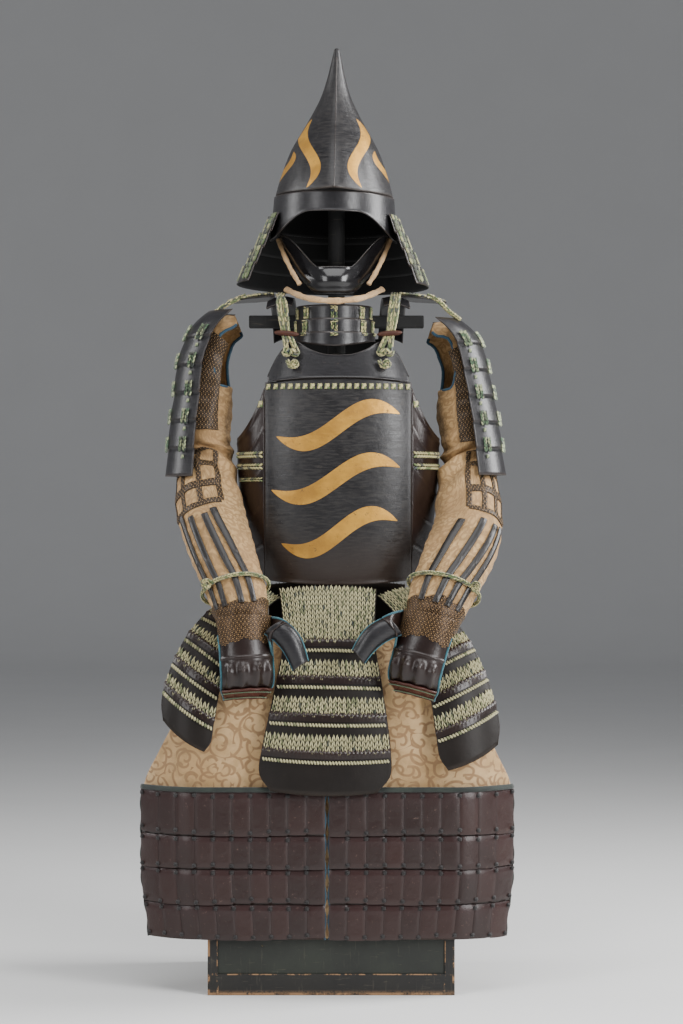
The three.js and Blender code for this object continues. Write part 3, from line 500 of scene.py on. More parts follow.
def across(surface, side, v, u_from, u_to, lift, count=60):
    """A path and its normals across a surface at one share up."""
    u = np.linspace(u_from, u_to, count)
    v = np.broadcast_to(np.asarray(v, float), u.shape)
    normal = facing(surface, u, v) * side
    return surface(u, v) + normal * lift, normal


def silk(name, cream, green, dark, rough=0.75):
    p = Paint(name)
    share, thread = p.cut()
    colour = p.mix(thread.above(0.3), cream, green)
    colour = p.mix(thread.above(0.7), colour, dark)
    fade = p.noise(p.place(), 60)
    colour = p.mix(fade.above(0.52, 0.2) * 0.45, colour, tuple(0.55 * c for c in cream))
    # Both ends of each stitch are darkened towards dark green: painted shade where the stitch dives under its
    # neighbours.
    ends = abs(share - 0.5).above(0.3, 0.14)
    colour = p.mix(ends * 0.75, colour, tuple(0.25 * c for c in green))
    strands = p.noise(p.place(), 2600, 2)
    return p.finish(Base_Color=colour, Roughness=rough, Sheen_Weight=0.25, Sheen_Roughness=0.5,
                    Normal=p.bump(strands, 0.0003))


SILK = silk("silk_braid", (0.50, 0.445, 0.205), (0.12, 0.17, 0.06), (0.02, 0.03, 0.045))
# The neck guard's braid takes the silk braid's colours made darker: painted shade on the braid that hangs under
# the helmet.
SHADED_NECK_SILK = silk("neck_braid_painted_shade", (0.27, 0.265, 0.12), (0.07, 0.11, 0.035), (0.01, 0.012, 0.012))
GREEN_SILK = silk("green_braid", (0.33, 0.36, 0.2), (0.05, 0.105, 0.05), (0.015, 0.02, 0.02))

# %% [markdown]
# ## Lacquer
# Urushi lacquer on iron or rawhide is satin where old and glossy where it was polished. Its base is
# nearly black, so what shows is a soft broad sheen. Small variations in roughness, a slow bump from
# the ground coat and brown rubbed edges keep it from looking like plastic.

# %% Lacquer materials
def lacquer(name, deep, rubbed, rough, spread=0.12, ground=0.0006, streak=0.0, coat=0.0, wear=0.5,
            shine=0.42):
    p = Paint(name)
    at = p.place()
    cloud = p.noise(at, 22, 4)
    fine = p.noise(at, 420, 3, 0.7)
    x, y, z = p.parts(at)
    brushed = p.noise(p.join(x * 900, y * 900, z * 30), 1.0, 2)
    scuff = p.noise(at, 90, 6, 0.75).above(0.66, 0.05)
    worn = p.node("ShaderNodeNewGeometry", output="Pointiness").above(0.56, 0.05) * wear
    colour = p.mix(cloud.above(0.5, 0.25), deep, tuple(1.5 * c for c in deep))
    hatched = p.noise(p.join(x * 60, y * 60, z * 380), 1.0, 4, 0.6).above(0.53, 0.12)
    colour = p.mix(hatched * streak * 2, colour, tuple(2.6 * c for c in deep))
    colour = p.mix(scuff * 0.35, colour, rubbed)
    colour = p.mix(worn * fine.above(0.4, 0.2), colour, rubbed)
    roughness = rough + (cloud - 0.5) * spread + (brushed - 0.5) * streak + scuff * 0.1
    height = cloud + p.noise(at, 70, 4, 0.6) * 0.45 + fine * 0.06 + brushed * streak * 0.35
    return p.finish(Base_Color=colour, Roughness=roughness, Specular_IOR_Level=shine, Coat_Weight=coat,
                    Coat_Roughness=0.12, Normal=p.bump(height, ground))


BLACK = lacquer("black_satin_lacquer", (0.009, 0.0085, 0.0095), (0.075, 0.05, 0.035), 0.33,
                streak=0.26)
GLOSS = lacquer("gloss_black_lacquer", (0.006, 0.0055, 0.006), (0.05, 0.04, 0.03), 0.2, 0.06, 0.0003,
                coat=0.35, wear=0.7)
UNDER = lacquer("inside_lacquer", (0.005, 0.005, 0.005), (0.02, 0.016, 0.014), 0.6, wear=0.2, shine=0.15)
BROWN = lacquer("brown_black_lacquer", (0.0115, 0.0062, 0.0052), (0.07, 0.04, 0.028), 0.3, 0.16, 0.0009)
RUSSET = lacquer("russet_lacquer", (0.05, 0.014, 0.011), (0.13, 0.07, 0.05), 0.3, 0.14, 0.0008)

# %% [markdown]
# ## Helmet
# The bowl is beaten from a few iron plates into a tall ogee point, with one ridge down the front. A
# deep brow band hangs from it, cut away in an arch over the face and finished with a rolled rim. Two
# plain flowing strokes of worn gold stand on each side of the ridge, in place of an owner's crest.

# %% Gold leaf on lacquer
GOLD, GOLD_WORN = (0.62, 0.33, 0.055), (0.2, 0.09, 0.02)


RUBBED = (0.075, 0.055, 0.042)


def gilded(name, strokes):
    """Satin lacquer with gold strokes on its front; each is its middle x and z, half length,
    half width, rise and turn, and the sideways lean of an upright stroke, or None for a level one."""
    p = Paint(name)
    at = p.place()
    x, y, z = p.parts(at)
    cloud = p.noise(at, 22, 4)
    fine = p.noise(at, 420, 3, 0.7)
    brushed = p.noise(p.join(x * 40, y * 40, z * 700), 1.0, 3)
    scuff = p.noise(at, 90, 6, 0.75).above(0.66, 0.05)
    rim = p.node("ShaderNodeNewGeometry", output="Pointiness").above(0.56, 0.05) * 0.5
    mask = None
    for middle_x, middle_z, reach, half, rise, turn, lean in strokes:
        run, over = (x - middle_x, z - middle_z) if lean is None else (z - middle_z, x - middle_x)
        along = run / reach
        bend = (along * turn).math("SINE") * rise + along * (lean or 0.0)
        taper = (1 - along * along).math("MAXIMUM", 0.0).math("POWER", 0.7) * half
        inside = (taper - abs(over - bend)).above(0.0007, 0.0004)
        mask = inside if mask is None else mask.math("MAXIMUM", inside)
    flaked = p.noise(at, 130, 6, 0.8).above(0.63, 0.06)
    gold = mask * (1 - flaked * 0.8) * y.below(-0.018, 0.006)
    colour = p.mix(cloud.above(0.5, 0.25), (0.009, 0.0085, 0.0095), (0.015, 0.014, 0.015))
    hatched = p.noise(p.join(x * 60, y * 60, z * 380), 1.0, 4, 0.6).above(0.53, 0.12)
    colour = p.mix(hatched * 0.6, colour, (0.03, 0.027, 0.025))
    colour = p.mix(z.below(0.7, 0.06) * 0.8, colour, (0.024, 0.013, 0.008))
    colour = p.mix(scuff * 0.35, colour, RUBBED)
    colour = p.mix(rim * fine.above(0.4, 0.2), colour, RUBBED)
    leaf = p.mix(cloud.above(0.48, 0.2) * 0.6 + scuff * 0.3, GOLD, GOLD_WORN)
    colour = p.mix(gold, colour, leaf)
    roughness = 0.36 + (cloud - 0.5) * 0.2 + (brushed - 0.5) * 0.4 + hatched * 0.06 + scuff * 0.1
    height = cloud + p.noise(at, 70, 4, 0.6) * 0.5 + fine * 0.06 + brushed * 0.12 + gold * 0.12
    return p.finish(Base_Color=colour, Roughness=roughness + gold * 0.08, Metallic=gold * 0.55,
                    Specular_IOR_Level=0.42, Normal=p.bump(height, 0.0009))


HELMET_GILT = gilded("helmet_lacquer", [
    (-0.036, 1.352, 0.062, 0.0105, 0.017, -2.7, 0.012),
    (0.045, 1.352, 0.062, 0.0105, -0.017, -2.7, -0.012),
    (-0.078, 1.325, 0.034, 0.007, 0.008, 2.6, 0.012),
    (0.087, 1.325, 0.034, 0.007, -0.008, 2.6, -0.012)])

# %% Helmet surfaces
bowl_at = profile([(1280, 97.5, 122, 118), (1296, 93.5, 116, 112), (1318, 87, 105, 103), (1338, 80, 94, 93),
                   (1358, 72, 82, 82), (1378, 61, 68, 69), (1398, 49.5, 54, 55), (1418, 38.5, 42, 43),
                   (1446, 25, 28, 29), (1476, 15.5, 18, 18), (1504, 9, 11, 11), (1522, 5, 6, 6)])
LEAN = 1.0 * RAD
BOWL_FOOT, BOWL_TOP, BOWL_TIP = 1280, 1522, 1528
BAND_TOP, BAND_PROUD, BROW, CHEEK, NAPE = 1278.6, 1.6, 1246, 1208, 1226


def leaning(surface):
    """The helmet leans a little to one side about the foot of its bowl."""
    def at(u, v):
        p = surface(u, v)
        x, z = p[..., 0], p[..., 2] - BOWL_FOOT
        return stack(x * math.cos(LEAN) + z * math.sin(LEAN) + HEAD_AT[0], p[..., 1],
                     z * math.cos(LEAN) - x * math.sin(LEAN) + BOWL_FOOT + HEAD_AT[2])
    return at


def egg(turn, wide, front, back, crest=1.0):
    a = 2 * math.pi * turn
    deep = np.where(np.cos(a) > 0, front, back)
    return -wide * np.sin(a) * crest, -deep * np.cos(a) * crest


def from_front(turn):
    return np.minimum(turn, 1 - turn)


@leaning
def bowl(u, v):
    z = blend(BOWL_FOOT, BOWL_TIP, v)
    past = (np.maximum(z, BOWL_TOP) - BOWL_TOP) / (BOWL_TIP - BOWL_TOP)
    close = np.sqrt(np.clip(1 - past ** 2, 0, 1))
    crest = (1 + 0.05 * np.exp(-((from_front(u) / 0.035) ** 2))) * close
    x, y = egg(u, bowl_at(z, 0), bowl_at(z, 1), bowl_at(z, 2), crest)
    return stack(x, y, z)


@leaning
def brow(u, v):
    near = from_front(u)
    low = blend(BROW, CHEEK, smooth((near - 0.06) / 0.14))
    low = blend(low, NAPE, smooth((near - 0.26) / 0.1))
    z = blend(low, BAND_TOP, v)
    flare = (BOWL_FOOT - z) * 0.07 + BAND_PROUD
    x, y = egg(u, *(bowl_at(BOWL_FOOT, k) + flare for k in range(3)))
    return stack(x, y, z)


def rolled(height, width=0.05, ends=()):
    """Relief of a rounded roll along the lower rim, and along any other named edge."""
    def relief(u, v):
        lift = height * np.exp(-((v / width) ** 2))
        if "top" in ends:
            lift = np.maximum(lift, height * np.exp(-(((1 - v) / width) ** 2)))
        if "sides" in ends:
            edge = np.minimum(u, 1 - u)
            lift = np.maximum(lift, height * np.exp(-((edge / width) ** 2)))
        return lift
    return relief


RIDGE_PROUD, RIDGE_WIDE, RIDGE_FADE = 9.0, 0.085, 1.3
ridge = lambda u, v: RIDGE_PROUD * np.maximum(0, 1 - from_front(u) / RIDGE_WIDE) * (1 - v) ** RIDGE_FADE
round_bowl = np.sort(np.concatenate([np.arange(144) / 144, [0.0012, 0.9988]]))
tip_rows = np.concatenate([np.linspace(0, 0.975, 70), np.linspace(0.98, 0.9995, 8)])
shell("helmet_bowl", bowl, round_bowl, tip_rows, 1.6, HELMET_GILT, -1, True, ridge, inside=UNDER)
height = np.linspace(0.01, 0.93, 80)
rib = bowl(0 * height, height) - np.outer(RIDGE_PROUD * (1 - height) ** RIDGE_FADE + 0.3, (0, 1, 0))
tube("helmet_front_rib", rib, 1.1, BLACK, 8)
shell("helmet_brow_band", brow, np.arange(144) / 144, edged(16), 2.2, BLACK, -1, True,
      rolled(1.3, 0.055), inside=UNDER)

# %% [markdown]
# ## Neck guard
# Four horseshoe lames hang below the bowl and flare outwards, each laced to the next. The lacing runs
# in pairs of cords round the back and in two broad bands at each front edge, where it shows most.

# %% Neck guard
NECK_LAMES, NECK_TOP, NECK_DROP, NECK_TALL = 4, 1249, 27.5, 32
NECK_WIDE, NECK_DEEP, NECK_FLARE, NECK_PROUD, MOUTH = 105, 132, 10.6, 3, 0.165


def neck_lame(i):
    @leaning
    def at(u, v):
        z = NECK_TOP - i * NECK_DROP - NECK_TALL * (1 - v)
        out = NECK_FLARE * (i + (1 - v) * NECK_TALL / NECK_DROP) + NECK_PROUD * i
        x, y = egg(blend(MOUTH, 1 - MOUTH, u), NECK_WIDE + out, NECK_DEEP + out, NECK_DEEP + out)
        return stack(x, y, z + 0 * u)
    return at


neck_silk = Stitches()
for i in range(NECK_LAMES):
    lame = neck_lame(i)
    shell(f"neck_guard_{i + 1}", lame, edged(90), edged(7), 1.8, BLACK, -1, relief=rolled(0.8, 0.1),
          inside=UNDER)
    for hand in (0, 1):
        for column in range(2):
            u = 0.014 + 0.019 * column
            path, up = down(lame, -1, u if hand == 0 else 1 - u, 0.94, 0.14, 0.8)
            neck_silk.chain(path, up, 4.0, 8.6, 3.2, 0.42, 0.3)
    for u in np.linspace(0.1, 0.9, 9):
        for pair in (-0.006, 0.006):
            path, up = down(lame, -1, u + pair, 0.9, 0.12, 0.8)
            neck_silk.chain(path, up, 2.2, 5.0, 1.8, 0.3, 0.1)
neck_silk.sew("neck_guard_lacing", SHADED_NECK_SILK)

# %% [markdown]
# ## Chin mask and throat guard
# The mask covers chin and cheeks in polished black lacquer with a raised lip. Its edges are bound in
# tan leather, and a padded leather roll rests on the throat guard, three small laced lames below it.

# %% Mask
EAR, JAW, EAR_HEIGHT, JAW_HEIGHT = 88, 56, 1205, 1124
MASK_REACH, MASK_CENTRE, MASK_SPREAD = 68, -26, 96
LIP, CHEEK_TOP, CHIN_LOW, CHEEK_LOW = 1159, 1216, 1114, 1178


def mask(u, v):
    a = blend(-MASK_SPREAD, MASK_SPREAD, u) * RAD
    rise = smooth((np.abs(np.sin(a)) - 0.34) / 0.62)
    back = smooth((np.abs(a) / RAD - 30) / 62)
    z = blend(blend(CHIN_LOW, CHEEK_LOW, back), blend(LIP, CHEEK_TOP, rise), v)
    wide = blend(JAW, EAR, (z - JAW_HEIGHT) / (EAR_HEIGHT - JAW_HEIGHT))
    below = np.clip((z - CHIN_LOW) / (LIP - CHIN_LOW), 0, 1)
    chin = 9 * np.sin(math.pi * below) * np.maximum(0, np.cos(a)) ** 2
    return stack(wide * np.sin(a), MASK_CENTRE - (MASK_REACH + chin) * np.maximum(np.cos(a), -0.2), z) + HEAD_AT


def mask_relief(u, v):
    """A raised lip, and a soft crease below it where the chin begins."""
    lip = 2.0 * np.exp(-(((1 - v) / 0.05) ** 2))
    crease = -1.6 * np.exp(-(((v - 0.3) / 0.1) ** 2)) * np.exp(-(((u - 0.5) / 0.16) ** 2))
    return lip + crease


def leather(name, light, shade):
    p = Paint(name)
    at = p.place()
    cloud = p.noise(at, 45, 5)
    pores = p.node("ShaderNodeTexVoronoi", None, {"Vector": at, "Scale": 700}, "Distance")
    dirt = p.noise(at, 150, 5, 0.7).above(0.6, 0.08)
    colour = p.mix(cloud.above(0.5, 0.25), light, shade)
    colour = p.mix(dirt * 0.5, colour, tuple(0.3 * c for c in shade))
    return p.finish(Base_Color=colour, Roughness=0.72 + cloud * 0.15, Sheen_Weight=0.15,
                    Normal=p.bump(pores + cloud * 2, 0.0003))


TAN = leather("tan_leather", (0.56, 0.37, 0.19), (0.40, 0.24, 0.11))
shell("mask_shell", mask, edged(110), edged(34), 1.9, GLOSS, 1, relief=mask_relief, inside=UNDER)
for side, s in SIDES:
    edge = route([(s * 92, -30, 1210), (s * 82, -44, 1183), (s * 68, -60, 1153), (s * 56, -79, 1132)], 40)
    wobble = 1 + 0.1 * np.sin(np.linspace(0, 19, 40)) + 0.06 * np.sin(np.linspace(0, 47, 40))
    tube(f"mask_lining_edge_{side}", edge + HEAD_AT, 3.9 * wobble, TAN, 14,
         [f"mask_lining_edge_{side}"], flat=0.8)
half = [(80, -34, 1128), (66, -62, 1119), (42, -92, 1108)]
collar = route([(-x, y, z) for x, y, z in half] + [(0, -108, 1102.5)] + half[::-1], 90) + HEAD_AT
plump = 5 * (1 + 0.1 * np.sin(np.linspace(0, 40, 90)) + 0.05 * np.sin(np.linspace(1, 97, 90)))
plump[[0, -1]] *= 0.6
pad = tube("collar_pad", collar, plump, TAN, 16, ["collar_pad"], flat=0.62)

# %% Throat guard
THROAT_LAMES, THROAT_TOP, THROAT_DROP, THROAT_TALL, THROAT_LOWEST = 3, 1098, 22, 25, 24
THROAT_WIDE, THROAT_REACH, THROAT_CENTRE, THROAT_SPREAD = 62, 74, -28, 84
THROAT_FLARE, THROAT_PROUD = -0.4, 2.9


def throat_lame(i):
    def at(u, v):
        a = blend(-THROAT_SPREAD, THROAT_SPREAD, u) * RAD
        crescent = 1 - 0.45 * smooth(np.abs(a) / RAD / THROAT_SPREAD)
        tall = THROAT_LOWEST * crescent if i == THROAT_LAMES - 1 else THROAT_TALL
        z = THROAT_TOP - i * THROAT_DROP - (1 - v) * tall
        out = THROAT_PROUD * i + THROAT_FLARE * (1 - v)
        y = THROAT_CENTRE - (THROAT_REACH + out) * np.cos(a)
        return stack((THROAT_WIDE + out) * np.sin(a), y, z) + HEAD_AT
    return at


throat_silk = Stitches()
for i in range(THROAT_LAMES):
    lame = throat_lame(i)
    shell(f"throat_lame_{i + 1}", lame, edged(70), edged(7), 1.8, BLACK, 1, relief=rolled(0.7, 0.12),
          inside=UNDER)
    for u in (0.07, 0.225, 0.5, 0.775, 0.93):
        if i < THROAT_LAMES - 1:
            for lean in (-0.016, 0.016):
                path, up = down(lame, 1, u + lean, 0.75, 0.02, 0.9)
                throat_silk.chain(path, up, 2.3, 5.5, 2.0, 0.4, 0.1)
        path, up = across(lame, 1, 0.8, u - 0.03, u + 0.03, 1.2)
        throat_silk.chain(path, up, 2.6, 5.0, 2.0, 0.4, 0.1)
throat_silk.sew("throat_lacing", SILK)

# %% [markdown]
# ## Cuirass
# The body armour is a front plate, a raised chest plate above it, a back and two russet side plates
# hinged between them. Three plain waves in worn gold stand on the front in place of an owner's crest.
# A row of small crossed knots ties the front plate up to the chest plate.

# %% Cuirass surfaces
body_at = profile([(652, 138, 112, 104), (700, 148, 120, 110), (760, 159, 127, 115),
                   (820, 165, 131, 119), (880, 166, 131, 121), (930, 162, 127, 121),
                   (980, 153, 119, 118), (1040, 136, 105, 111), (1075, 122, 94, 104)])
SQUARE = 2.5  # the power of the body's squared oval
HEM, HEM_SAG, FRONT_HALF, SEAM, CHEST_HALF, BACK_HALF = 652, 7, 118, 978, 114, 112
BACK_TOP, ARMHOLE, ARMHOLE_RISE, FLANGE, SIDE_GAP, GAP = 1046, 884, 80, 3, 1.2, 0.4
neckline_at = profile([(0, 1015), (24, 1017), (46, 1025), (64, 1036), (74, 1037), (86, 1029), (98, 1014),
                       (108, 995), (114, 981)])


def depth(side, x, z):
    share = np.minimum(1, np.abs(x) / body_at(z, 0))
    return body_at(z, side) * (1 - share**SQUARE) ** (1 / SQUARE)


def chest_plate(u, v):
    x = blend(-CHEST_HALF, CHEST_HALF, u)
    low = SEAM + GAP - 6 * (x / CHEST_HALF) ** 2
    z = blend(low, np.maximum(low + 4, neckline_at(np.abs(x))), v)
    return stack(x, -depth(1, x, z) - FLANGE, z) + BODY_AT


def front_plate(u, v):
    x = blend(-FRONT_HALF, FRONT_HALF, u)
    share = (x / FRONT_HALF) ** 2
    top = SEAM - 6 * share * (FRONT_HALF / CHEST_HALF) ** 2
    z = blend(HEM + HEM_SAG * (share - 1), top, v)
    return stack(x, -depth(1, x, z), z) + BODY_AT


def back_plate(u, v):
    x = blend(BACK_HALF, -BACK_HALF, u)
    share = np.abs(x) / BACK_HALF
    top = blend(BACK_TOP, ARMHOLE + 82, smooth((share - 0.72) / 0.28))
    top = top + 8 * smooth(share / 0.5) * (1 - 0.5 * smooth((share - 0.66) / 0.12))
    z = blend(HEM, top, v)
    return stack(x, depth(2, x, z), z) + BODY_AT


def turn_at(x, z):
    return np.arcsin(np.minimum(1, x / body_at(z, 0)) ** (SQUARE / 2)) / (2 * math.pi)


def side_plate(s):
    def at(u, v):
        z = blend(HEM + 1, ARMHOLE + ARMHOLE_RISE * np.abs(2 * u - 1) ** 3, v)
        turn = blend(turn_at(FRONT_HALF + SIDE_GAP, z), 0.5 - turn_at(BACK_HALF + SIDE_GAP, z), u)
        a = 2 * math.pi * turn
        deep = np.where(np.cos(a) > 0, body_at(z, 1), body_at(z, 2))
        x = body_at(z, 0) * np.sign(np.sin(a)) * np.abs(np.sin(a)) ** (2 / SQUARE)
        y = -deep * np.sign(np.cos(a)) * np.abs(np.cos(a)) ** (2 / SQUARE)
        return stack(s * x, y, z) + BODY_AT
    return at


# %% Cuirass plates
FRONT_GILT = gilded("front_plate_lacquer", [
    (0.011, 0.908, 0.1, 0.017, 0.03, 2.5, None), (0.007, 0.822, 0.104, 0.017, 0.03, 2.5, None),
    (0.013, 0.736, 0.094, 0.017, 0.03, 2.5, None)])
shell("cuirass_front", front_plate, edged(90), edged(110), 2.2, FRONT_GILT, 1,
      relief=rolled(1.2, 0.012, ("sides",)), inside=UNDER)
shell("cuirass_chest_plate", chest_plate, edged(120), edged(26), 2.2, BLACK, 1,
      relief=rolled(1.6, 0.028, ("top",)), inside=UNDER)
shell("cuirass_back", back_plate, edged(70), edged(80), 2.2, BLACK, 1,
      relief=rolled(1.4, 0.014, ("top", "sides")), inside=UNDER)
bands = lambda u, v: 1.4 * np.exp(-(((v - 0.96) / 0.02) ** 2)) + 0.9 * (np.mod(v * 5, 1) > 0.9)
for side, s in SIDES:
    shell(f"cuirass_side_{side}", side_plate(s), edged(70), edged(90), 2.2, BROWN, s, relief=bands,
          inside=UNDER)

# %% Cuirass knots and side lacing
knots = Stitches()


def height_share(surface, u, z):
    """How far up a surface a height lies, at one share across."""
    v = np.linspace(0, 1, 200)
    return float(np.interp(z, surface(np.full_like(v, u), v)[:, 2], v))


def level(surface, side, z, u_from, u_to, lift, count=24):
    """A path and its normals across a surface at one height."""
    u = np.linspace(u_from, u_to, count)
    v = np.array([height_share(surface, share, z) for share in u])
    normal = facing(surface, u, v) * side
    return surface(u, v) + normal * lift, normal


def crossed_knot(heap, surface, side, u, z, size, rise=2.4):
    """Two stitches crossed over a short bar."""
    v = height_share(surface, u, z)
    here = surface(np.array([u]), np.array([v]))
    out = facing(surface, np.array([u]), np.array([v])) * side
    sideways = unit(np.cross(out, [0, 0, 1.0]))
    upwards = np.cross(sideways, out)
    for k, (thread, hand) in enumerate(((GREEN, 1), (CREAM, -1))):
        arm = (sideways + upwards * hand) * size * 0.7
        low = here + out * (0.8 + 0.7 * k)
        high = low + upwards * size * 0.3
        heap.add(low - arm, low + arm, out, size * 0.34, rise, thread)
        heap.add(high - arm * 0.8, high + arm * 0.8, out, size * 0.26, rise, CREAM)


KNOT_ROW, SIDE_KNOTS = 970, 942
for u in np.linspace(0.025, 0.975, 20):
    crossed_knot(knots, front_plate, 1, u, KNOT_ROW, 6.4)
for side, s in SIDES:
    wall = side_plate(s)
    crossed_knot(knots, wall, s, 0.035, SIDE_KNOTS, 7.5, 3.0)
    rows = [(861, 0.36, 5.2), (842, 0.36, 4.8), (821, 0.3, 3.2)]
    for z, reach, half in rows[:3 if s < 0 else 2]:
        path, up = level(wall, s, z, 0.01, reach, 1.8)
        knots.chain(path, up, half, 6.4, 2.8, 0.2, 0.1)
knots.sew("cuirass_knots", SILK)

# %% [markdown]
# ## Shoulder straps, cords and toggles
# Two straps carry the cuirass over the shoulders. Each ends in a doubled plaited cord, closed by a
# small turned toggle and tied off on the chest plate. A leaf-shaped wing guards each strap, and cords
# run out from it to hang the shoulder guards.

# %% Straps, wings and shoulder cords
strap_at = profile([(0, 107, 1052), (0.25, 84, 1090), (0.5, 35, 1112), (0.75, -25, 1113), (1, -68, 1098)])
STRAP_MIDDLE, STRAP_HALF, STRAP_SPREAD = 96, 21, 8


def strap(s):
    def at(u, v):
        w = blend(-STRAP_HALF, STRAP_HALF, u)
        x = STRAP_MIDDLE - STRAP_SPREAD * (1 - v) + w
        return stack(s * x, strap_at(v, 0), strap_at(v, 1) + 3 - 0.012 * w**2 - 0.10 * w) + BODY_AT
    return at


WING_FROM, WING_HALF, WING_OVAL, WING_REACH, WING_TOP = 100, 46, 50, 76, 1122


def wing(s):
    def at(u, v):
        y = blend(-WING_HALF, WING_HALF, u)
        out = blend(2, WING_REACH * np.sqrt(1 - (y / WING_OVAL) ** 2) + 6, v)
        z = WING_TOP - 0.0021 * out ** 2 - 0.003 * y * y
        return stack(s * (WING_FROM + out), y + 4, z) + SUIT_AT
    return at


def declare_cord(core, path, with_pieces):
    """Prints the length of a cord's core, from where it leaves its strap or wing to its far end."""
    length = float(np.linalg.norm(np.diff(path, axis=0), axis=1).sum()) * MM
    print(core.name, round(length, 3), "m")


def turned_wood():
    """Dark red wood whose grain runs along x."""
    p = Paint("toggle_wood")
    x, y, z = p.parts(p.place())
    grain = p.noise(p.join(x * 120, y * 900, z * 900), 1.0, 4)
    colour = p.mix(grain.above(0.5, 0.2), (0.07, 0.02, 0.009), (0.03, 0.009, 0.005))
    return p.finish(Base_Color=colour, Roughness=0.42 + grain * 0.15, Specular_IOR_Level=0.3,
                    Normal=p.bump(grain, 0.0002))


WOOD = turned_wood()
TOGGLE_AT, TOGGLE_HALF, TOGGLE_THICK, TOGGLE_TILT = (83, -108, 1050), 17, 4.6, 6 * RAD
CHEST_CORE, SHOULDER_CORE = 2.7, 2.2  # radius of the cords inside their braid
for side, s in SIDES:
    shell(f"shoulder_strap_{side}", strap(s), edged(24), edged(60), 2.8, BLACK, -s,
          relief=rolled(0.8, 0.05, ("sides",)))
    shell(f"shoulder_wing_{side}", wing(s), edged(50), edged(22), 1.9, BLACK, -s,
          relief=rolled(0.9, 0.06, ("top",)))
    cords = Stitches()
    top, middle, knot, end = (np.array(p, float) * (s, 1, 1) + BODY_AT
                              for p in ((92, -79, 1103), (85, -101, 1056), (76, -113, 1024), (74, -118, 1002)))
    core = []
    for hand in (-1, 1):
        shift = np.array([hand * 4.2, 0, 0])
        upper = top + shift + (0, 0, -1)
        back = strap(s)(np.array([0.5 + 0.1 * hand]), np.array([0.8]))[0] + (0, 0, 4.5)
        strand = [back, upper + (0, 2, 2), blend(top, middle, 0.5) + shift * 1.1 + (0, -3, 0),
                  middle + shift * 0.8, blend(middle, knot, 0.5) + shift * 1.2 + (0, -2, 0),
                  knot + shift * 1.9]
        looped = [knot + shift * 2.3 + (0, -4, -6), knot + shift * 1.1 + (0, -6, -7), knot + (0, -5, 0)]
        cords.round(route(strand + looped, 70), 3.9, 8.0, 0.3, 0.2)
        core.append(route(strand, 30))
    tie = route([end + step for step in ((-8, -2, 4), (-3, -5, -3), (4, -5, 3), (8, -2, -3), (2, -6, -6),
                                         (-6, -3, -4))], 40)
    cords.round(tie, 3.0, 5.0, 0.3, 0.15)
    made = cords.sew(f"chest_cord_{side}", SILK, [f"chest_cord_{side}"])
    turn = np.linspace(-1, 1, 25)
    pin = np.stack([turn * TOGGLE_HALF * 1.2 * math.cos(TOGGLE_TILT), 0 * turn,
                    s * turn * TOGGLE_HALF * math.sin(TOGGLE_TILT)], 1)
    pin = pin + np.array(TOGGLE_AT) * (s, 1, 1) + BODY_AT
    plump = TOGGLE_THICK * np.sqrt(np.clip(1.02 - np.abs(turn) ** 2.6, 0.02, 1))
    toggle = tube(f"toggle_{side}", pin, plump, WOOD, 16, [f"toggle_{side}"])
    for k, run in enumerate(core):
        declare_cord(tube(f"chest_cord_core_{side}_{k}", run, CHEST_CORE, GREEN_SILK, 8), run,
                     [made, toggle] if k == 0 else [])
    hang = Stitches()
    for u in (0.16, 0.3, 0.72):
        path, up = down(wing(s), -s, u, 0.02, 0.98, 1.2)
        hang.chain(path, up, 3.0, 5.0, 2.2, 0.3, 0.12)
    path, up = across(wing(s), -s, 0.93, 0.06, 0.94, 1.2)
    hang.chain(path, up, 3.2, 5.0, 2.2, 0.35, 0.12)
    lower = s > 0  # the right guard hangs lower
    run = route([wing(s)(np.array([0.2]), np.array([0.7]))[0] + (0, 0, 3), SUIT_AT + (s * 165, -34, 1110),
                 SUIT_AT + (s * 185, -34, 1099 - lower * 8), SUIT_AT + (s * 203, -30, 1086 - lower * 9)], 50)
    hang.round(run, 3.3, 5.2, 0.3, 0.14)
    braid = hang.sew(f"shoulder_cord_{side}", SILK)
    run = run[::2]
    declare_cord(tube(f"shoulder_cord_core_{side}", run, SHOULDER_CORE, GREEN_SILK, 8), run,
                 [braid])

# %% [markdown]
# ## Sleeves
# The sleeves are brocade over a lining, bent at the elbow and narrowed to the wrist. The brocade has a
# tone-on-tone pattern of scrolls, drawn here as spirals, one in each cell of a random mosaic on the
# flat cut. Creases gather on the inside of the elbow, where the cloth has too much length.

# %% Brocade
THREADS = 1250  # in a metre of brocade


def scroll_lines(p, u, v, size, turns, width, wobble=0.006):
    """1 along spiral tendrils; each cell of a mosaic winds about its own middle."""
    drift = p.noise(p.join(u, v), 26, 2)
    drift_v = p.noise(p.join(u + 3.1, v), 26, 2)
    at = p.join(u + (drift - 0.5) * wobble, v + (drift_v - 0.5) * wobble)
    scaled = p.node("ShaderNodeVectorMath", {"operation": "SCALE"}, {0: at, "Scale": 1 / size})
    middle, hue = (p.node("ShaderNodeTexVoronoi", {"voronoi_dimensions": "2D"},
                          {"Vector": scaled, "Scale": 1.0}, output) for output in ("Position", "Color"))
    away = p.node("ShaderNodeVectorMath", {"operation": "SUBTRACT"}, {0: scaled, 1: middle})
    dx, dy, _ = p.parts(away)
    radius = (dx * dx + dy * dy).math("SQRT")
    angle = dy.math("ARCTAN2", dx) / (2 * math.pi)
    hand, start, _ = p.parts(hue)
    way = hand.above(0.5) * 2 - 1
    phase = (radius * turns + angle * way + start).math("FRACT")
    return abs(phase - 0.5).below(width, 0.05) * radius.above(0.06, 0.04)


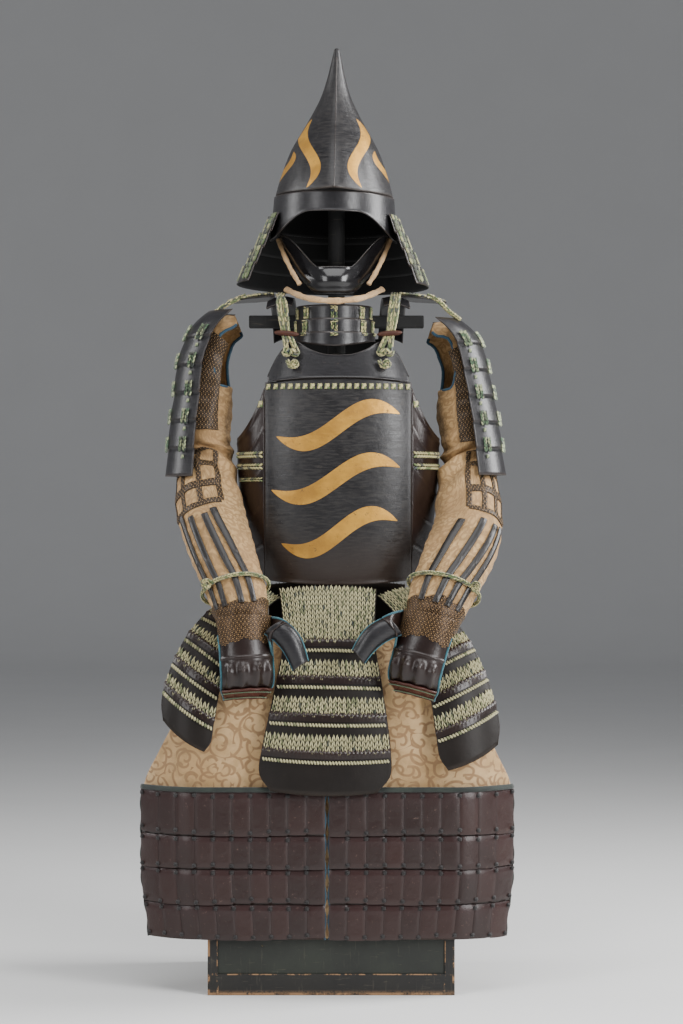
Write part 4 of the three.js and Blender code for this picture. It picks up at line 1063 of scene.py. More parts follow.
def brocade(name, ground, figure, shade, size, width, second):
    """A woven scroll pattern; size is a scroll's, in metres, and second is a smaller one's share of it."""
    p = Paint(name)
    u, v = p.cut()
    at = p.place()
    large = scroll_lines(p, u, v, size, 2.0, width)
    small = scroll_lines(p, u + 0.37, v + 0.11, size * second, 1.3, width * 1.2, 0.012)
    scroll = large.math("MAXIMUM", small)
    warp, weft = (abs((way * THREADS).math("FRACT") - 0.5) * 2 for way in (u, v))
    cloud = p.noise(at, 14, 5)
    stain = p.noise(at, 38, 6, 0.7).above(0.56, 0.1)
    rubbed = p.noise(at, 110, 5, 0.75)
    colour = p.mix(cloud.above(0.5, 0.22), ground, shade)
    colour = p.mix(scroll * (0.55 + rubbed * 0.7), colour, figure)
    colour = p.mix(stain * 0.45, colour, tuple(0.62 * c for c in shade))
    colour = p.mix((1 - warp * weft) * 0.22, colour, tuple(0.6 * c for c in ground))
    height = warp * 0.5 + weft * 0.5 + scroll * 0.8 + rubbed * 1.4
    return p.finish(Base_Color=colour, Roughness=0.88 - scroll * 0.15, Sheen_Weight=0.06,
                    Normal=p.bump(height, 0.00022))


SLEEVE_CLOTH = brocade("sleeve_brocade", (0.55, 0.355, 0.16), (0.30, 0.17, 0.065), (0.40, 0.235, 0.10),
                       0.026, 0.15, 0.7)
APRON_CLOTH = brocade("apron_brocade", (0.62, 0.425, 0.225), (0.24, 0.125, 0.05), (0.44, 0.27, 0.115),
                      0.044, 0.1, 0.6)


def cloth(name, colour, shade):
    p = Paint(name)
    at = p.place()
    cloud, thread = p.noise(at, 40, 5), p.noise(at, 1400, 2)
    tone = p.mix(cloud.above(0.5, 0.2), colour, shade)
    return p.finish(Base_Color=tone, Roughness=0.85, Sheen_Weight=0.2, Normal=p.bump(thread, 0.0003))


BLUE = cloth("indigo_edging", (0.022, 0.075, 0.115), (0.012, 0.035, 0.06))
TEAL = cloth("teal_piping", (0.03, 0.15, 0.18), (0.012, 0.06, 0.085))
DARK_CLOTH = cloth("dark_green_binding", (0.018, 0.026, 0.02), (0.01, 0.014, 0.012))


def mail(name, iron, ground, pitch):
    """Rows of small iron rings sewn on cloth, a pitch apart in metres."""
    p = Paint(name)
    u, v = p.cut()
    down_row = v / (pitch * 0.8)
    odd = (down_row.math("FLOOR") * 0.5).math("FRACT") * 2
    x = (u / pitch + odd * 0.5).math("FRACT") - 0.5
    y = down_row.math("FRACT") - 0.5
    radius = (x * x + y * y * 0.8).math("SQRT")
    ring = abs(radius - 0.37).below(0.15, 0.04)
    worn = p.noise(p.place(), 240, 4)
    colour = p.mix(ring, ground, p.mix(worn.above(0.52, 0.12), iron, tuple(2.4 * c for c in iron)))
    return p.finish(Base_Color=colour, Metallic=ring * 0.6, Roughness=0.8 - ring * 0.45,
                    Normal=p.bump(ring + worn * 0.4, 0.0016))


IRON_MAIL = mail("iron_mail", (0.013, 0.0105, 0.009), (0.27, 0.165, 0.075), 0.0058)
GOLDEN_MAIL = mail("brown_mail", (0.024, 0.0135, 0.007), (0.21, 0.12, 0.045), 0.0062)

# %% Sleeve surfaces
# A row for each ring: how far down the arm it is, its middle x, y and z, its half width and half depth.
sleeve_at = {
    "left": profile([
        (0, -158, 6, 1062, 25, 40), (0.06, -186, 6, 1050, 31, 46), (0.13, -205, 4, 1016, 34, 43),
        (0.2, -212, 2, 970, 37, 45), (0.29, -214, -4, 925, 38, 46), (0.37, -215, -8, 888, 39, 46),
        (0.46, -213, -16, 848, 43, 43), (0.53, -210, -44, 808, 48, 45), (0.59, -204, -76, 766, 52, 46),
        (0.66, -195, -100, 733, 51, 42), (0.74, -182, -125, 697, 50, 39), (0.82, -168, -150, 660, 47, 36),
        (0.9, -155, -174, 625, 43, 32), (1, -145, -197, 574, 35, 25)]),
    "right": profile([
        (0, 152, 6, 1050, 25, 40), (0.06, 180, 6, 1040, 31, 46), (0.13, 199, 2, 1008, 32, 41),
        (0.2, 206, 0, 965, 35, 44), (0.29, 209, -4, 925, 40, 46), (0.37, 213, -8, 885, 39.5, 46),
        (0.46, 216, -16, 842, 41.5, 43), (0.53, 213, -44, 802, 48, 45), (0.59, 214, -76, 757, 51, 46),
        (0.66, 210, -100, 726, 53, 42), (0.74, 197, -125, 694, 55, 39), (0.82, 181, -150, 660, 52, 36),
        (0.9, 164, -174, 625, 47, 32), (1, 146, -197, 574, 36, 25)]),
}


def sleeve_middle(side, t):
    t = np.clip(t, 0, 1)
    return stack(*(sleeve_at[side](t, k) for k in range(3)))


def sleeve_point(side, turn, t, proud=0.0):
    """A point round the arm; turn 0 faces the front and grows towards the outside."""
    s = -1 if side == "left" else 1
    along = unit(sleeve_middle(side, t + 0.01) - sleeve_middle(side, t - 0.01))
    out = np.zeros_like(along)
    out[..., 0] = s
    out = unit(out - along * (out * along).sum(-1, keepdims=True))
    front = unit(np.cross(out, along))
    front = np.where(front[..., 1:2] > 0, -front, front)
    a = 2 * math.pi * np.asarray(turn)
    wide, deep = sleeve_at[side](t, 3) + proud, sleeve_at[side](t, 4) + proud
    round_arm = out * (wide * np.sin(a))[..., None] + front * (deep * np.cos(a))[..., None]
    return sleeve_middle(side, t) + round_arm + SUIT_AT


MOUTH_REACH, CLOTH_THICK = 0.2, 2.4


def sleeve_share(u, v):
    """How far down the arm a point of the sleeve lies; its mouth is cut open towards the body."""
    inward = smooth((np.cos(2 * math.pi * (u - 0.8)) + 0.1) / 0.9)
    return blend(MOUTH_REACH * inward, 1, v)


def creases(side, turn, t):
    """Folds round the elbow, long slack folds above it and small puckers everywhere."""
    deep = 1.9 if side == "right" else 1.35
    inner = 0.45 + 0.55 * np.cos(2 * math.pi * (turn - (0.93 if side == "left" else 0.9)))
    elbow = np.exp(-(((t - 0.475) / 0.075) ** 2)) * inner
    folds = np.sin(2 * math.pi * (t * 15.5 + 0.5 * np.sin(2 * math.pi * turn) + 0.25 * np.sin(4 * math.pi * turn)))
    sharp = np.sign(folds) * np.abs(folds) ** 1.4
    slack = np.exp(-(((t - 0.3) / 0.14) ** 2)) * np.sin(2 * math.pi * (2 * turn + 3.2 * t))
    pucker = np.sin(2 * math.pi * (5 * turn + 9 * t)) * np.sin(2 * math.pi * (3 * turn - 13 * t))
    return deep * (3.6 * elbow * sharp - 1.5 * elbow) + 2.4 * slack + 1.2 * pucker


STRIP_TURN, STRIP_PLACE = 0.013, 0.0075  # half the width of a strip of the elbow's lattice
MAIL_PLACES = {"left": (((-0.09, 0.09), (0.07, 0.365)), ((-0.05, 0.24), (0.47, 0.615))),
               "right": (((-0.05, 0.12), (0.1, 0.395)), ((0.0, 0.23), (0.455, 0.62)))}
for side, s in SIDES:
    tube_wall = lambda u, v, side=side: sleeve_point(side, u + 0.5, sleeve_share(u + 0.5, v), CLOTH_THICK)
    relief = lambda u, v, side=side: creases(side, u + 0.5, sleeve_share(u + 0.5, v))
    sleeve = shell(f"sleeve_{side}", tube_wall, np.arange(128) / 128, np.linspace(0, 1, 150), 2.2,
                   SLEEVE_CLOTH, -s, True, relief)

    def patch(name, turns, places, material, fine=(30, 40), ragged=0.0, side=side, s=s):
        """A piece of mail sewn over the sleeve, between two turns and two places down the arm."""
        def face(u, v):
            start = places[0] + ragged * (np.sin(6 * u + s) + 0.5 * np.sin(21 * u))
            t, turn = blend(start, places[1], v), blend(*turns, u)
            return sleeve_point(side, turn, t, CLOTH_THICK + 1.6 + creases(side, turn, t))
        return shell(name, face, edged(fine[0]), edged(fine[1]), 1.4, material, -s, nodes=[])

    upper, lattice = MAIL_PLACES[side]
    patch(f"arm_mail_{side}", *upper, IRON_MAIL, (40, 70))
    (turn_0, turn_1), (place_0, place_1) = lattice
    for k, turn in enumerate(np.linspace(turn_0, turn_1, 4)):
        patch(f"elbow_mail_{side}_down_{k}", (turn - STRIP_TURN, turn + STRIP_TURN), (place_0, place_1),
              IRON_MAIL, (5, 60))
    for k, place in enumerate(np.linspace(place_0, place_1, 4)):
        patch(f"elbow_mail_{side}_round_{k}", (turn_0, turn_1), (place - STRIP_PLACE, place + STRIP_PLACE),
              IRON_MAIL, (50, 5))
    patch(f"wrist_mail_{side}", (-0.27, 0.27), (0.925, 0.992), GOLDEN_MAIL, (60, 40), 0.009)
    mouth = np.linspace(0.5, 1.06, 50)
    lip = sleeve_point(side, mouth, sleeve_share(mouth, np.full_like(mouth, 0.004)), 1.4)
    tube(f"sleeve_edging_{side}", lip, 2.6, BLUE, 10, flat=0.8)

# %% [markdown]
# ## Splints and wrist cords
# Narrow iron splints lie along the forearm, each held by rivets through the cloth. A plaited cord goes
# once round the wrist and is knotted on the outside, in two small loops.

# %% Splints
# Each splint's turn about the arm at the elbow and at the wrist, and how far down the arm it starts.
SPLINTS = {"left": [("rear", 0.18, 0.157, 0.62), ("outer", 0.117, 0.09, 0.64),
                    ("middle", 0.045, -0.01, 0.65), ("inner", 0, -0.082, 0.64)],
           "right": [("rear", 0.19, 0.128, 0.645), ("outer", 0.145, 0.06, 0.65),
                     ("middle", 0.075, -0.005, 0.65), ("inner", -0.022, -0.088, 0.67)]}
SPLINT_END, SPLINT_HALF, SPLINT_RISE, CORD_AT = 0.938, 0.0165, 3.8, 0.868
IRON = lacquer("splint_iron", (0.0105, 0.009, 0.0085), (0.09, 0.06, 0.04), 0.34, 0.2, 0.0008, wear=0.8)
WRIST_BRAID = 2.9, 4.8, 0.35, 0.12  # radius, pitch, and shares of green and dark stitches


def crown(u, v):
    """A splint's rounded back, with three rivets."""
    rivets = sum(1.1 * np.exp(-(((u - 0.5) / 0.14) ** 2) - ((v - at) / 0.016) ** 2) for at in (0.04, 0.5, 0.95))
    return 1.2 * (1 - (2 * u - 1) ** 2) + rivets


for side, s in SIDES:
    for name, elbow, wrist, start in SPLINTS[side]:
        def strip(u, v, side=side, elbow=elbow, wrist=wrist, start=start):
            turn = blend(elbow, wrist, v) + blend(-1, 1, u) * SPLINT_HALF
            return sleeve_point(side, turn, blend(start, SPLINT_END, v), SPLINT_RISE + 1.8)

        shell(f"splint_{side}_{name}", strip, edged(12), edged(70), 1.6, IRON, -s, relief=crown)
    turns = np.linspace(0.14, 1.14, 90)
    ring = sleeve_point(side, turns, CORD_AT - 0.01 * np.sin(2 * math.pi * turns), 8.6)
    cord = Stitches()
    cord.round(ring, *WRIST_BRAID)
    knot = ring[0]
    out = unit(knot - sleeve_middle(side, CORD_AT) - SUIT_AT)
    for shift in (-1, 1):
        loop = route([knot, knot + out * 5 + (2, -2, 5 * shift),
                      knot + out * 7 + (s * 5, -1, 2 * shift), knot + out * 2 + (s * 4, -3, -3),
                      knot + (0, -5, -6)], 30)
        cord.round(loop, *WRIST_BRAID)
    cord.sew(f"wrist_cord_{side}", SILK, [f"wrist_cord_{side}"])
    tube(f"wrist_cord_core_{side}", ring, 2.0, GREEN_SILK, 8)

# %% [markdown]
# ## Hand and thumb guards
# A lacquered plate covers the back of each hand and bends down over the curled fingers, with a bump
# for each knuckle and mail at its cuff. A narrow stitched plate crosses the fingertips. A smaller plate
# stands for the thumb, joined on by a web of lacquered hide, and every edge is piped in teal cloth.

# %% Hands
HANDS = {"left": ((-147, -200, 596), (0.07, -0.17, -0.985), (-0.96, -0.22, 0)),
         "right": ((150, -200, 598), (-0.27, -0.16, -0.95), (0.92, -0.28, -0.22))}
THUMBS = {"left": ((-97, -225, 582), (0.55, -0.30, -0.78), (0.80, 0.10, 0.58)),
          "right": ((90, -224, 584), (-0.72, -0.28, -0.62), (-0.66, 0.06, 0.74))}
HAND_LENGTH, WRIST_HALF, HAND_HALF, WRIST_DEEP, HAND_DEEP = 138, 45, 43, 35, 32
HAND_SPREAD, CURL, KNUCKLE, FINGERTIPS = 76, 66, 0.6, 0.24
THUMB_LENGTH, THUMB_HALF, THUMB_DEEP, THUMB_SPREAD, THUMB_BOW, THUMB_CURL = 74, 18, 14, 86, 8, 15


def squared(row):
    """Origin, then the directions along, across and out of a plate."""
    origin, along, over = (np.array(v, float) for v in row)
    along = unit(along)
    over = unit(over - along * (over @ along))
    out = unit(np.cross(over, along))
    return origin + SUIT_AT, along, over, -out if out[1] > 0 else out


def hand_plate(side):
    origin, along, over, out = squared(HANDS[side])

    def at(u, v):
        a = blend(-HAND_SPREAD, HAND_SPREAD, u) * RAD
        grow = smooth(v / 0.4)
        wide, deep = blend(WRIST_HALF, HAND_HALF, grow), blend(WRIST_DEEP, HAND_DEEP, grow)
        wide = wide * (1 - FINGERTIPS * smooth((v - 0.7) / 0.3) ** 2)
        bend = CURL * RAD * smooth((v - KNUCKLE) / (1 - KNUCKLE))
        past = np.maximum(0, v - KNUCKLE) * HAND_LENGTH
        run = np.minimum(v, KNUCKLE) * HAND_LENGTH + past * np.cos(bend * 0.6)
        back = past * np.sin(bend * 0.8)
        return origin + along * run[..., None] + over * (wide * np.sin(a))[..., None] \
            + out * (deep * np.cos(a) - back)[..., None]
    return at


def thumb_plate(side):
    origin, along, over, out = squared(THUMBS[side])
    outside = np.array([0.62 if side == "left" else -0.62, 0, 0.78])

    def at(u, v):
        a = blend(-THUMB_SPREAD, THUMB_SPREAD, u) * RAD
        narrow = 1 - 0.25 * v * v
        return origin + along * (v * THUMB_LENGTH)[..., None] \
            + over * (THUMB_HALF * narrow * np.sin(a))[..., None] \
            + out * (THUMB_DEEP * narrow * np.cos(a) - THUMB_CURL * v * v)[..., None] \
            + outside * (THUMB_BOW * np.sin(math.pi * v))[..., None]
    return at


def outward(surface):
    """1 where a surface's own normal points away from the suit's middle, and -1 where it points in."""
    middle = np.array([0.5])
    normal, here = facing(surface, middle, middle)[0], surface(middle, middle)[0] - SUIT_AT
    return 1 if normal[0] * here[0] + normal[1] * here[1] > 0 else -1


def raised(surface, side, lift):
    """The same surface moved out along its own normals."""
    return lambda u, v: surface(u, v) + facing(surface, u, v) * side * lift


def knuckles(u, v):
    """Four knuckles, grooves between the fingers below them, and a step where the finger plate starts."""
    lift = np.zeros_like(u)
    for k in range(4):
        middle = 0.2 + 0.2 * k
        finger = np.exp(-(((u - middle) / 0.055) ** 2)) * smooth((v - 0.6) / 0.05)
        lift += 5.0 * np.exp(-(((u - middle) / 0.058) ** 2) - ((v - 0.6) / 0.05) ** 2)
        lift += 4.4 * finger * smooth((0.84 - v) / 0.04)
    lift += 1.6 * np.exp(-(((v - 0.48) / 0.012) ** 2)) - 1.0 * (v > 0.86)
    return lift + 0.6 * np.sin(7 * u + 3) * np.sin(9 * v)


for side, s in SIDES:
    plate, thumb = hand_plate(side), thumb_plate(side)
    shell(f"hand_guard_{side}", plate, edged(100), edged(90), 1.8, BROWN, -s, relief=knuckles)
    shell(f"thumb_guard_{side}", thumb, edged(40), edged(40), 1.8, BLACK, s,
          relief=rolled(0.8, 0.05, ("sides", "top")))
    v = np.linspace(0.2, 1, 50)
    for name, u in (("a", 0.0), ("b", 1.0)):
        tube(f"hand_piping_{side}_{name}", plate(np.full_like(v, u), v), 2.1, TEAL, 8)
    u = np.linspace(0, 1, 60)
    tube(f"hand_hem_{side}", plate(u, np.full_like(u, 0.995)), 2.1, TEAL, 8)
    fingers = raised(lambda u, v: plate(blend(0.05, 0.95, u), blend(0.825, 1.0, v)), -s, 3.4)
    shell(f"finger_plate_{side}", fingers, edged(60), edged(14), 1.6, RUSSET, -s, nodes=[],
          relief=lambda u, v: 1.6 * np.abs(np.sin(4 * math.pi * u)) + 0.8 * np.exp(-((v / 0.1) ** 2)))
    seam = Stitches()
    for height in (0.86, 0.95):
        path, up = across(plate, -s, height, 0.08, 0.92, 6.0)
        seam.row(path, up, 0.8, 3.2, 0.9, 1.0)
    seam.sew(f"finger_stitches_{side}", GREEN_SILK)
    ragged = lambda u: 0.30 + 0.025 * np.sin(9 * u) + 0.012 * np.sin(31 * u)
    cuff = raised(lambda u, v: plate(u, v * ragged(u)), -s, 1.2)
    shell(f"cuff_mail_{side}", cuff, edged(60), edged(30), 1.6, GOLDEN_MAIL, -s, nodes=[])
    near_wrist = plate(np.zeros(1), np.full(1, 0.05))[0]
    far, near = (np.linalg.norm(thumb(np.full(1, u), np.full(1, 0.04))[0] - near_wrist) for u in (1.0, 0.0))
    flip = far < near

    def web(u, v, flip=flip, plate=plate, thumb=thumb):
        """Lacquered hide from the plate's edge out to the foot of the thumb."""
        edge, foot = plate(0.02 + 0 * u, 0.02 + 0.44 * u), thumb(1 - u if flip else u, 0 * u + 0.1)
        return blend(edge, foot, v[..., None]) + (0, -11, 3) * np.sin(math.pi * v[..., None] * 0.92)

    shell(f"thumb_web_{side}", web, edged(30), edged(20), 1.4, BROWN, outward(web), nodes=[])
    for share in (0.0, 1.0):
        v = np.linspace(0.02, 0.98, 30)
        tube(f"thumb_web_piping_{side}_{int(share)}", web(np.full(30, share), v), 1.8, TEAL, 8)
    for name, u in (("a", 0.0), ("b", 1.0)):
        tube(f"thumb_piping_{side}_{name}", thumb(np.full(30, u), np.linspace(0, 0.98, 30)), 1.6, TEAL, 8)

# %% [markdown]
# ## Shoulder guards
# Each guard is six curved lames, hung in front of the upper arm and laced with green braid. The links
# of braid cross from each lame to the one below, in a clear column at the front and more at the side.

# %% Shoulder guards
guard_at = {
    "left": profile([(1094, 143), (1072, 165), (1045, 180), (1000, 192), (955, 195), (900, 201), (820, 204)]),
    "right": profile([(1081, 135), (1060, 157), (1035, 171), (1000, 179), (955, 187), (900, 195), (822, 202)]),
}
GUARD_ENDS = {"left": (820, 1094), "right": (822, 1081)}
GUARD_LAMES, GUARD_SPREAD, GUARD_RADIUS = 6, 68, 68.2
GUARD_STEP, GUARD_DEPTH, GUARD_LEAN = 1, 3, 24


def guard(side):
    s = -1 if side == "left" else 1
    bottom, top = GUARD_ENDS[side]

    def at(u, v):
        drop = 1 - v
        lame = np.minimum(GUARD_LAMES - 1, np.floor(drop * GUARD_LAMES + 1e-6))
        z = blend(bottom, top, v)
        a = blend(-GUARD_SPREAD, GUARD_SPREAD, u) * RAD
        r = GUARD_RADIUS + GUARD_STEP * (lame + 1.5 * (drop * GUARD_LAMES - lame))
        x = guard_at[side](z) + r * np.cos(a)
        return stack(s * x, GUARD_DEPTH - GUARD_LEAN * drop + r * np.sin(a), z) + SUIT_AT
    return at


def stepped(breaks, each, edge=0.002):
    """Rows for a stepped piece: a few on each lame, close to its ends."""
    ends = [0, *breaks, 1]
    return np.concatenate([np.linspace(a + edge, b - edge, each) for a, b in zip(ends, ends[1:])])


def lame_edges(u, v):
    """Each lame leans out to its lower edge, which stands in front of the lame below."""
    share, edge = np.mod(v * GUARD_LAMES, 1), np.minimum(u, 1 - u)
    return 2.4 * (1 - share) + 0.8 * np.exp(-((share / 0.06) ** 2)) + 0.5 * np.exp(-(edge / 0.02) ** 2)


breaks = [k / GUARD_LAMES for k in range(1, GUARD_LAMES)]
for side, s in SIDES:
    face = guard(side)
    shell(f"shoulder_guard_{side}", face, edged(60), stepped(breaks, 9), 2.2, BLACK, s, relief=lame_edges)
    lacing = Stitches()
    for k in range(1, GUARD_LAMES):
        for u in (0.12, 0.4, 0.52, 0.86):
            for pair in (-0.024, 0.024):
                path, up = down(face, s, u + pair, (k + 0.42) / GUARD_LAMES, (k - 0.12) / GUARD_LAMES,
                                3.4, 40)
                lacing.chain(path, up, 3.0, 5.4, 2.4, 0.45, 0.16)
        for u in (0.12, 0.86):
            z = blend(*GUARD_ENDS[side], (k - 0.3) / GUARD_LAMES) + 6
            crossed_knot(lacing, face, s, u, z, 4.5, 2.6)
    lacing.sew(f"shoulder_guard_lacing_{side}", GREEN_SILK)

# %% [markdown]
# ## Tassets
# Seven skirts of narrow lames hang from the cuirass on closely laced silk. Each lame shows a dark
# scalloped head, one row of twisted cord, a bare dark band, and then the close lacing that carries the
# next lame. The lacing is hundreds of short columns of V stitches, set side by side.

# %% Tasset surfaces
TASSET_BREAKS = [0.308, 0.488, 0.659, 0.82]
tasset_half = profile([(0, 0.76), (0.14, 0.72), (0.3, 0.7), (0.49, 0.8), (0.66, 0.9), (0.82, 0.99),
                       (0.93, 1), (1, 0.8)])
# Each skirt's top, knee and foot, its direction across at the top and below, half width and bow radius.
TASSETS = {
    "front": ((-14, -128, 645), (-6, -212, 508), (-20, -204, 320), (1, 0, 0), (1, 0, -0.02), 105, 320),
    "front_left": ((-124, -92, 640), (-228, -176, 568), (-241, -196, 408),
                   (0.82, -0.5, -0.2), (0.76, -0.34, -0.54), 55, 105),
    "front_right": ((106, -96, 640), (196, -174, 562), (217, -196, 374),
                    (0.85, 0.45, 0.1), (0.84, 0.34, 0.40), 60, 105),
    "side_left": ((-153, 34, 642), (-228, 32, 540), (-229, 30, 396),
                  (0.05, -1, 0.04), (0.05, -1, 0.04), 62, 140),
    "side_right": ((153, 34, 642), (204, 32, 540), (212, 30, 396),
                   (0.05, 1, -0.04), (0.05, 1, -0.04), 62, 140),
    "back_left": ((-62, 122, 644), (-70, 190, 520), (-76, 206, 356), (-1, 0.1, 0), (-1, 0.1, 0), 72, 190),
    "back_right": ((62, 122, 644), (70, 190, 520), (76, 206, 356), (-1, -0.1, 0), (-1, -0.1, 0), 72, 190),
}
LAME_STEP, LAME_SAG = 2.2, 5


def tasset(name):
    top, knee, foot, upper, lower, half, bow = TASSETS[name]
    top, knee, foot = (np.array(p, float) for p in (top, knee, foot))
    upper, lower = unit(upper), unit(lower)
    body_out = np.array([top[0], top[1], 0])

    def at(u, v):
        u, v = np.broadcast_arrays(np.asarray(u, float), np.asarray(v, float))
        t = (1 - v)[..., None]
        lame = sum((1 - v > b).astype(float) for b in TASSET_BREAKS)
        middle = (1 - t) ** 2 * top + 2 * t * (1 - t) * knee + t**2 * foot
        down_way = unit(2 * (1 - t) * (knee - top) + 2 * t * (foot - knee))
        over = unit(blend(upper, lower, smooth(t / 0.55)))
        out = unit(np.cross(over, down_way))
        out = np.where((out @ body_out)[..., None] < 0, -out, out)
        wide = half * tasset_half(1 - v)
        x = blend(-wide, wide, u)
        sag = LAME_SAG * smooth((1 - v - 0.3) / 0.7) * (1 - (x / wide) ** 2)
        return middle + down_way * sag[..., None] + over * (bow * np.sin(x / bow))[..., None] \
            + out * (bow * (np.cos(x / bow) - 1) + lame * LAME_STEP)[..., None] + SUIT_AT
    return at


LACED_GROUND = lacquer("lame_lacquer", (0.0075, 0.0055, 0.0045), (0.05, 0.035, 0.025), 0.46, 0.16,
                       0.0009, shine=0.22)
LACING = silk("lacing_silk", (0.47, 0.435, 0.245), (0.15, 0.17, 0.08), (0.03, 0.045, 0.04), 0.8)
LACE_PITCH, LACE_MARGIN, LACE_WIDE, SCALE_WIDE, SCALE_TALL = 8.4, 0.012, 6.9, 6.6, 12.0


def length_down(surface, v_from, v_to):
    v = np.linspace(v_from, v_to, 20)
    return float(np.linalg.norm(np.diff(surface(np.full_like(v, 0.5), v), axis=0), axis=1).sum())


def close_lacing(heap, surface, side, v_from, v_to, columns):
    """Columns of V stitches side by side, down from one share of the height to another."""
    tall = length_down(surface, 0, 1)
    ends = surface(np.array([0.0, 1.0]), np.full(2, (v_from + v_to) / 2))
    half = float(np.linalg.norm(ends[1] - ends[0])) / columns * 0.52
    for k in range(columns):
        u = LACE_MARGIN + (1 - 2 * LACE_MARGIN) * (k + 0.5) / columns + (rng.random() - 0.5) * 0.004
        later = (k % 2) * LACE_PITCH / 4 / tall
        low = v_to + (rng.random() - 0.5) * 0.006 - later
        path, up = down(surface, side, u, v_from - later, low, 1.0, 16)
        heap.chain(path, up, half, LACE_PITCH, 2.3, 0.12, 0.05)


def scallops(surface, side, v, tall, columns):
    """The notched heads of the leather scales that stand up in front of the lacing."""
    u = np.linspace(0.005, 0.995, columns * 6 + 1)
    wave = np.abs(np.sin(math.pi * columns * (u - u[0]) / (u[-1] - u[0])))
    length = length_down(surface, 0, 1)
    low = np.full_like(u, v - tall / length)
    normal = facing(surface, u, low) * side
    up_way = unit(surface(u, np.full_like(u, v - 0.002)) - surface(u, low))
    base = surface(u, low)
    points = []
    for reach, lift in ((0.0, 0.6), (tall * 0.6, 2.6), (tall, 3.9), (tall + 1.0, 0.8)):
        grow = reach + (wave * 4.4 - 2.0 if reach >= tall else 0)
        points.append(base + up_way * np.broadcast_to(grow, u.shape)[:, None] + normal * lift)
    verts = np.concatenate(points)
    n = len(u)
    faces = [(at, at + 1, at + n + 1, at + n) for row in range(3) for at in range(row * n, row * n + n - 1)]
    if side < 0:
        faces = [f[::-1] for f in faces]
    return verts, faces


# %% Tassets
def lips(u, v):
    """A thin raised rim at the sides and the foot."""
    return 0.8 * np.exp(-(np.minimum(u, 1 - u) / 0.015) ** 2) + 0.8 * np.exp(-((v / 0.012) ** 2))


breaks, bounds = sorted(1 - b for b in TASSET_BREAKS), TASSET_BREAKS + [1.0]
for name in TASSETS:
    face = tasset(name)
    side = outward(face)
    shell(f"tasset_{name}", face, edged(46), stepped(breaks, 9), 2.2, LACED_GROUND, side, relief=lips)
    lacing, heads, head_faces, offset = Stitches(), [], [], 0
    wide = TASSETS[name][5] * 2
    columns = int(round(wide * 0.8 / LACE_WIDE))
    close_lacing(lacing, face, side, 0.997, 1 - TASSET_BREAKS[0] + 0.004, columns)
    for k, (start, end) in enumerate(zip(bounds, bounds[1:])):
        length = length_down(face, 1 - start, 1 - end)
        share = (end - start) / length
        count = int(round(wide * float(tasset_half(start)) / SCALE_WIDE))
        verts, faces = scallops(face, side, 1 - start + 4.0 * share, SCALE_TALL, count)
        heads.append(verts)
        head_faces += [tuple(i + offset for i in f) for f in faces]
        offset += len(verts)
        path, up = across(face, side, 1 - start - 14.8 * share, 0.02, 0.98, 1.4)
        lacing.row(path, up, 3.3, 4.9, 3.4, 0.14, 0.55)
        if k < len(TASSET_BREAKS) - 1:
            close_lacing(lacing, face, side, 1 - start - 30 * share, 1 - end + 0.004, count)
    dress(f"tasset_heads_{name}", np.concatenate(heads), head_faces, BROWN)
    lacing.sew(f"tasset_lacing_{name}", LACING)

# %% [markdown]
# ## Thigh apron
# A wide split apron of brocade hangs over the front of the chest. Its lower half carries two panels of
# small cupped plates, four rows of ten each, with dark knots between neighbours at top and bottom. The
# plates were lacquered by hand and hang a little unevenly, so each has its own drop, tilt and shade.

# %% Apron
apron_at = profile([(576, 118, 126), (548, 158, 143), (520, 190, 159), (500, 205, 168.5), (480, 217, 172),
                    (430, 244, 174), (380, 270, 175), (322, 296, 175), (200, 296, 175), (86, 284, 175)])
APRON_TOP, APRON_HEM, APRON_REACH, APRON_BEND, APRON_CURVE = 576, 86, 175, 196, 0.0056
PANEL_TOP, PANEL_BOTTOM, PANEL_HALF, PANEL_SPLIT, PANEL_STEP, PANEL_PROUD = 321, 84, 299, 3, 2.4, 5.2
PANEL_BREAKS = [0.3, 0.524, 0.762]


def fall_back(x):
    """How far the apron falls back at its sides."""
    return APRON_CURVE * np.maximum(0, np.abs(x) - APRON_BEND) ** 2


def apron_cloth(u, v):
    z = blend(APRON_HEM, APRON_TOP, v)
    half = apron_at(z, 0)
    x = blend(-half, half, u)
    return stack(x, -apron_at(z, 1) + fall_back(x), z) + APRON_AT


def drape(u, v):
    """Soft vertical waves in the cloth above the plates, flat where the plates weigh it down."""
    free = smooth((v - 0.5) / 0.12)
    return free * (2.2 * np.sin(34 * (u - 0.5) * (1.1 - 0.3 * v)) + 1.2 * np.sin(61 * u + 5 * v)) - 0.8


apron = shell("apron_cloth", apron_cloth, edged(150), edged(90), 2.2, APRON_CLOTH, 1, relief=drape)


def panel(s, proud=0.0):
    def at(u, v):
        t = 1 - v
        below = sum((t <= b).astype(float) for b in PANEL_BREAKS)
        far = PANEL_HALF * (1 - 0.04 * smooth((t - 0.55) / 0.45))
        x = blend(PANEL_SPLIT, far, u)
        reach = -APRON_REACH - PANEL_PROUD - below * PANEL_STEP - proud
        return stack(s * x, reach + fall_back(x), blend(PANEL_BOTTOM, PANEL_TOP, v)) + APRON_AT
    return at


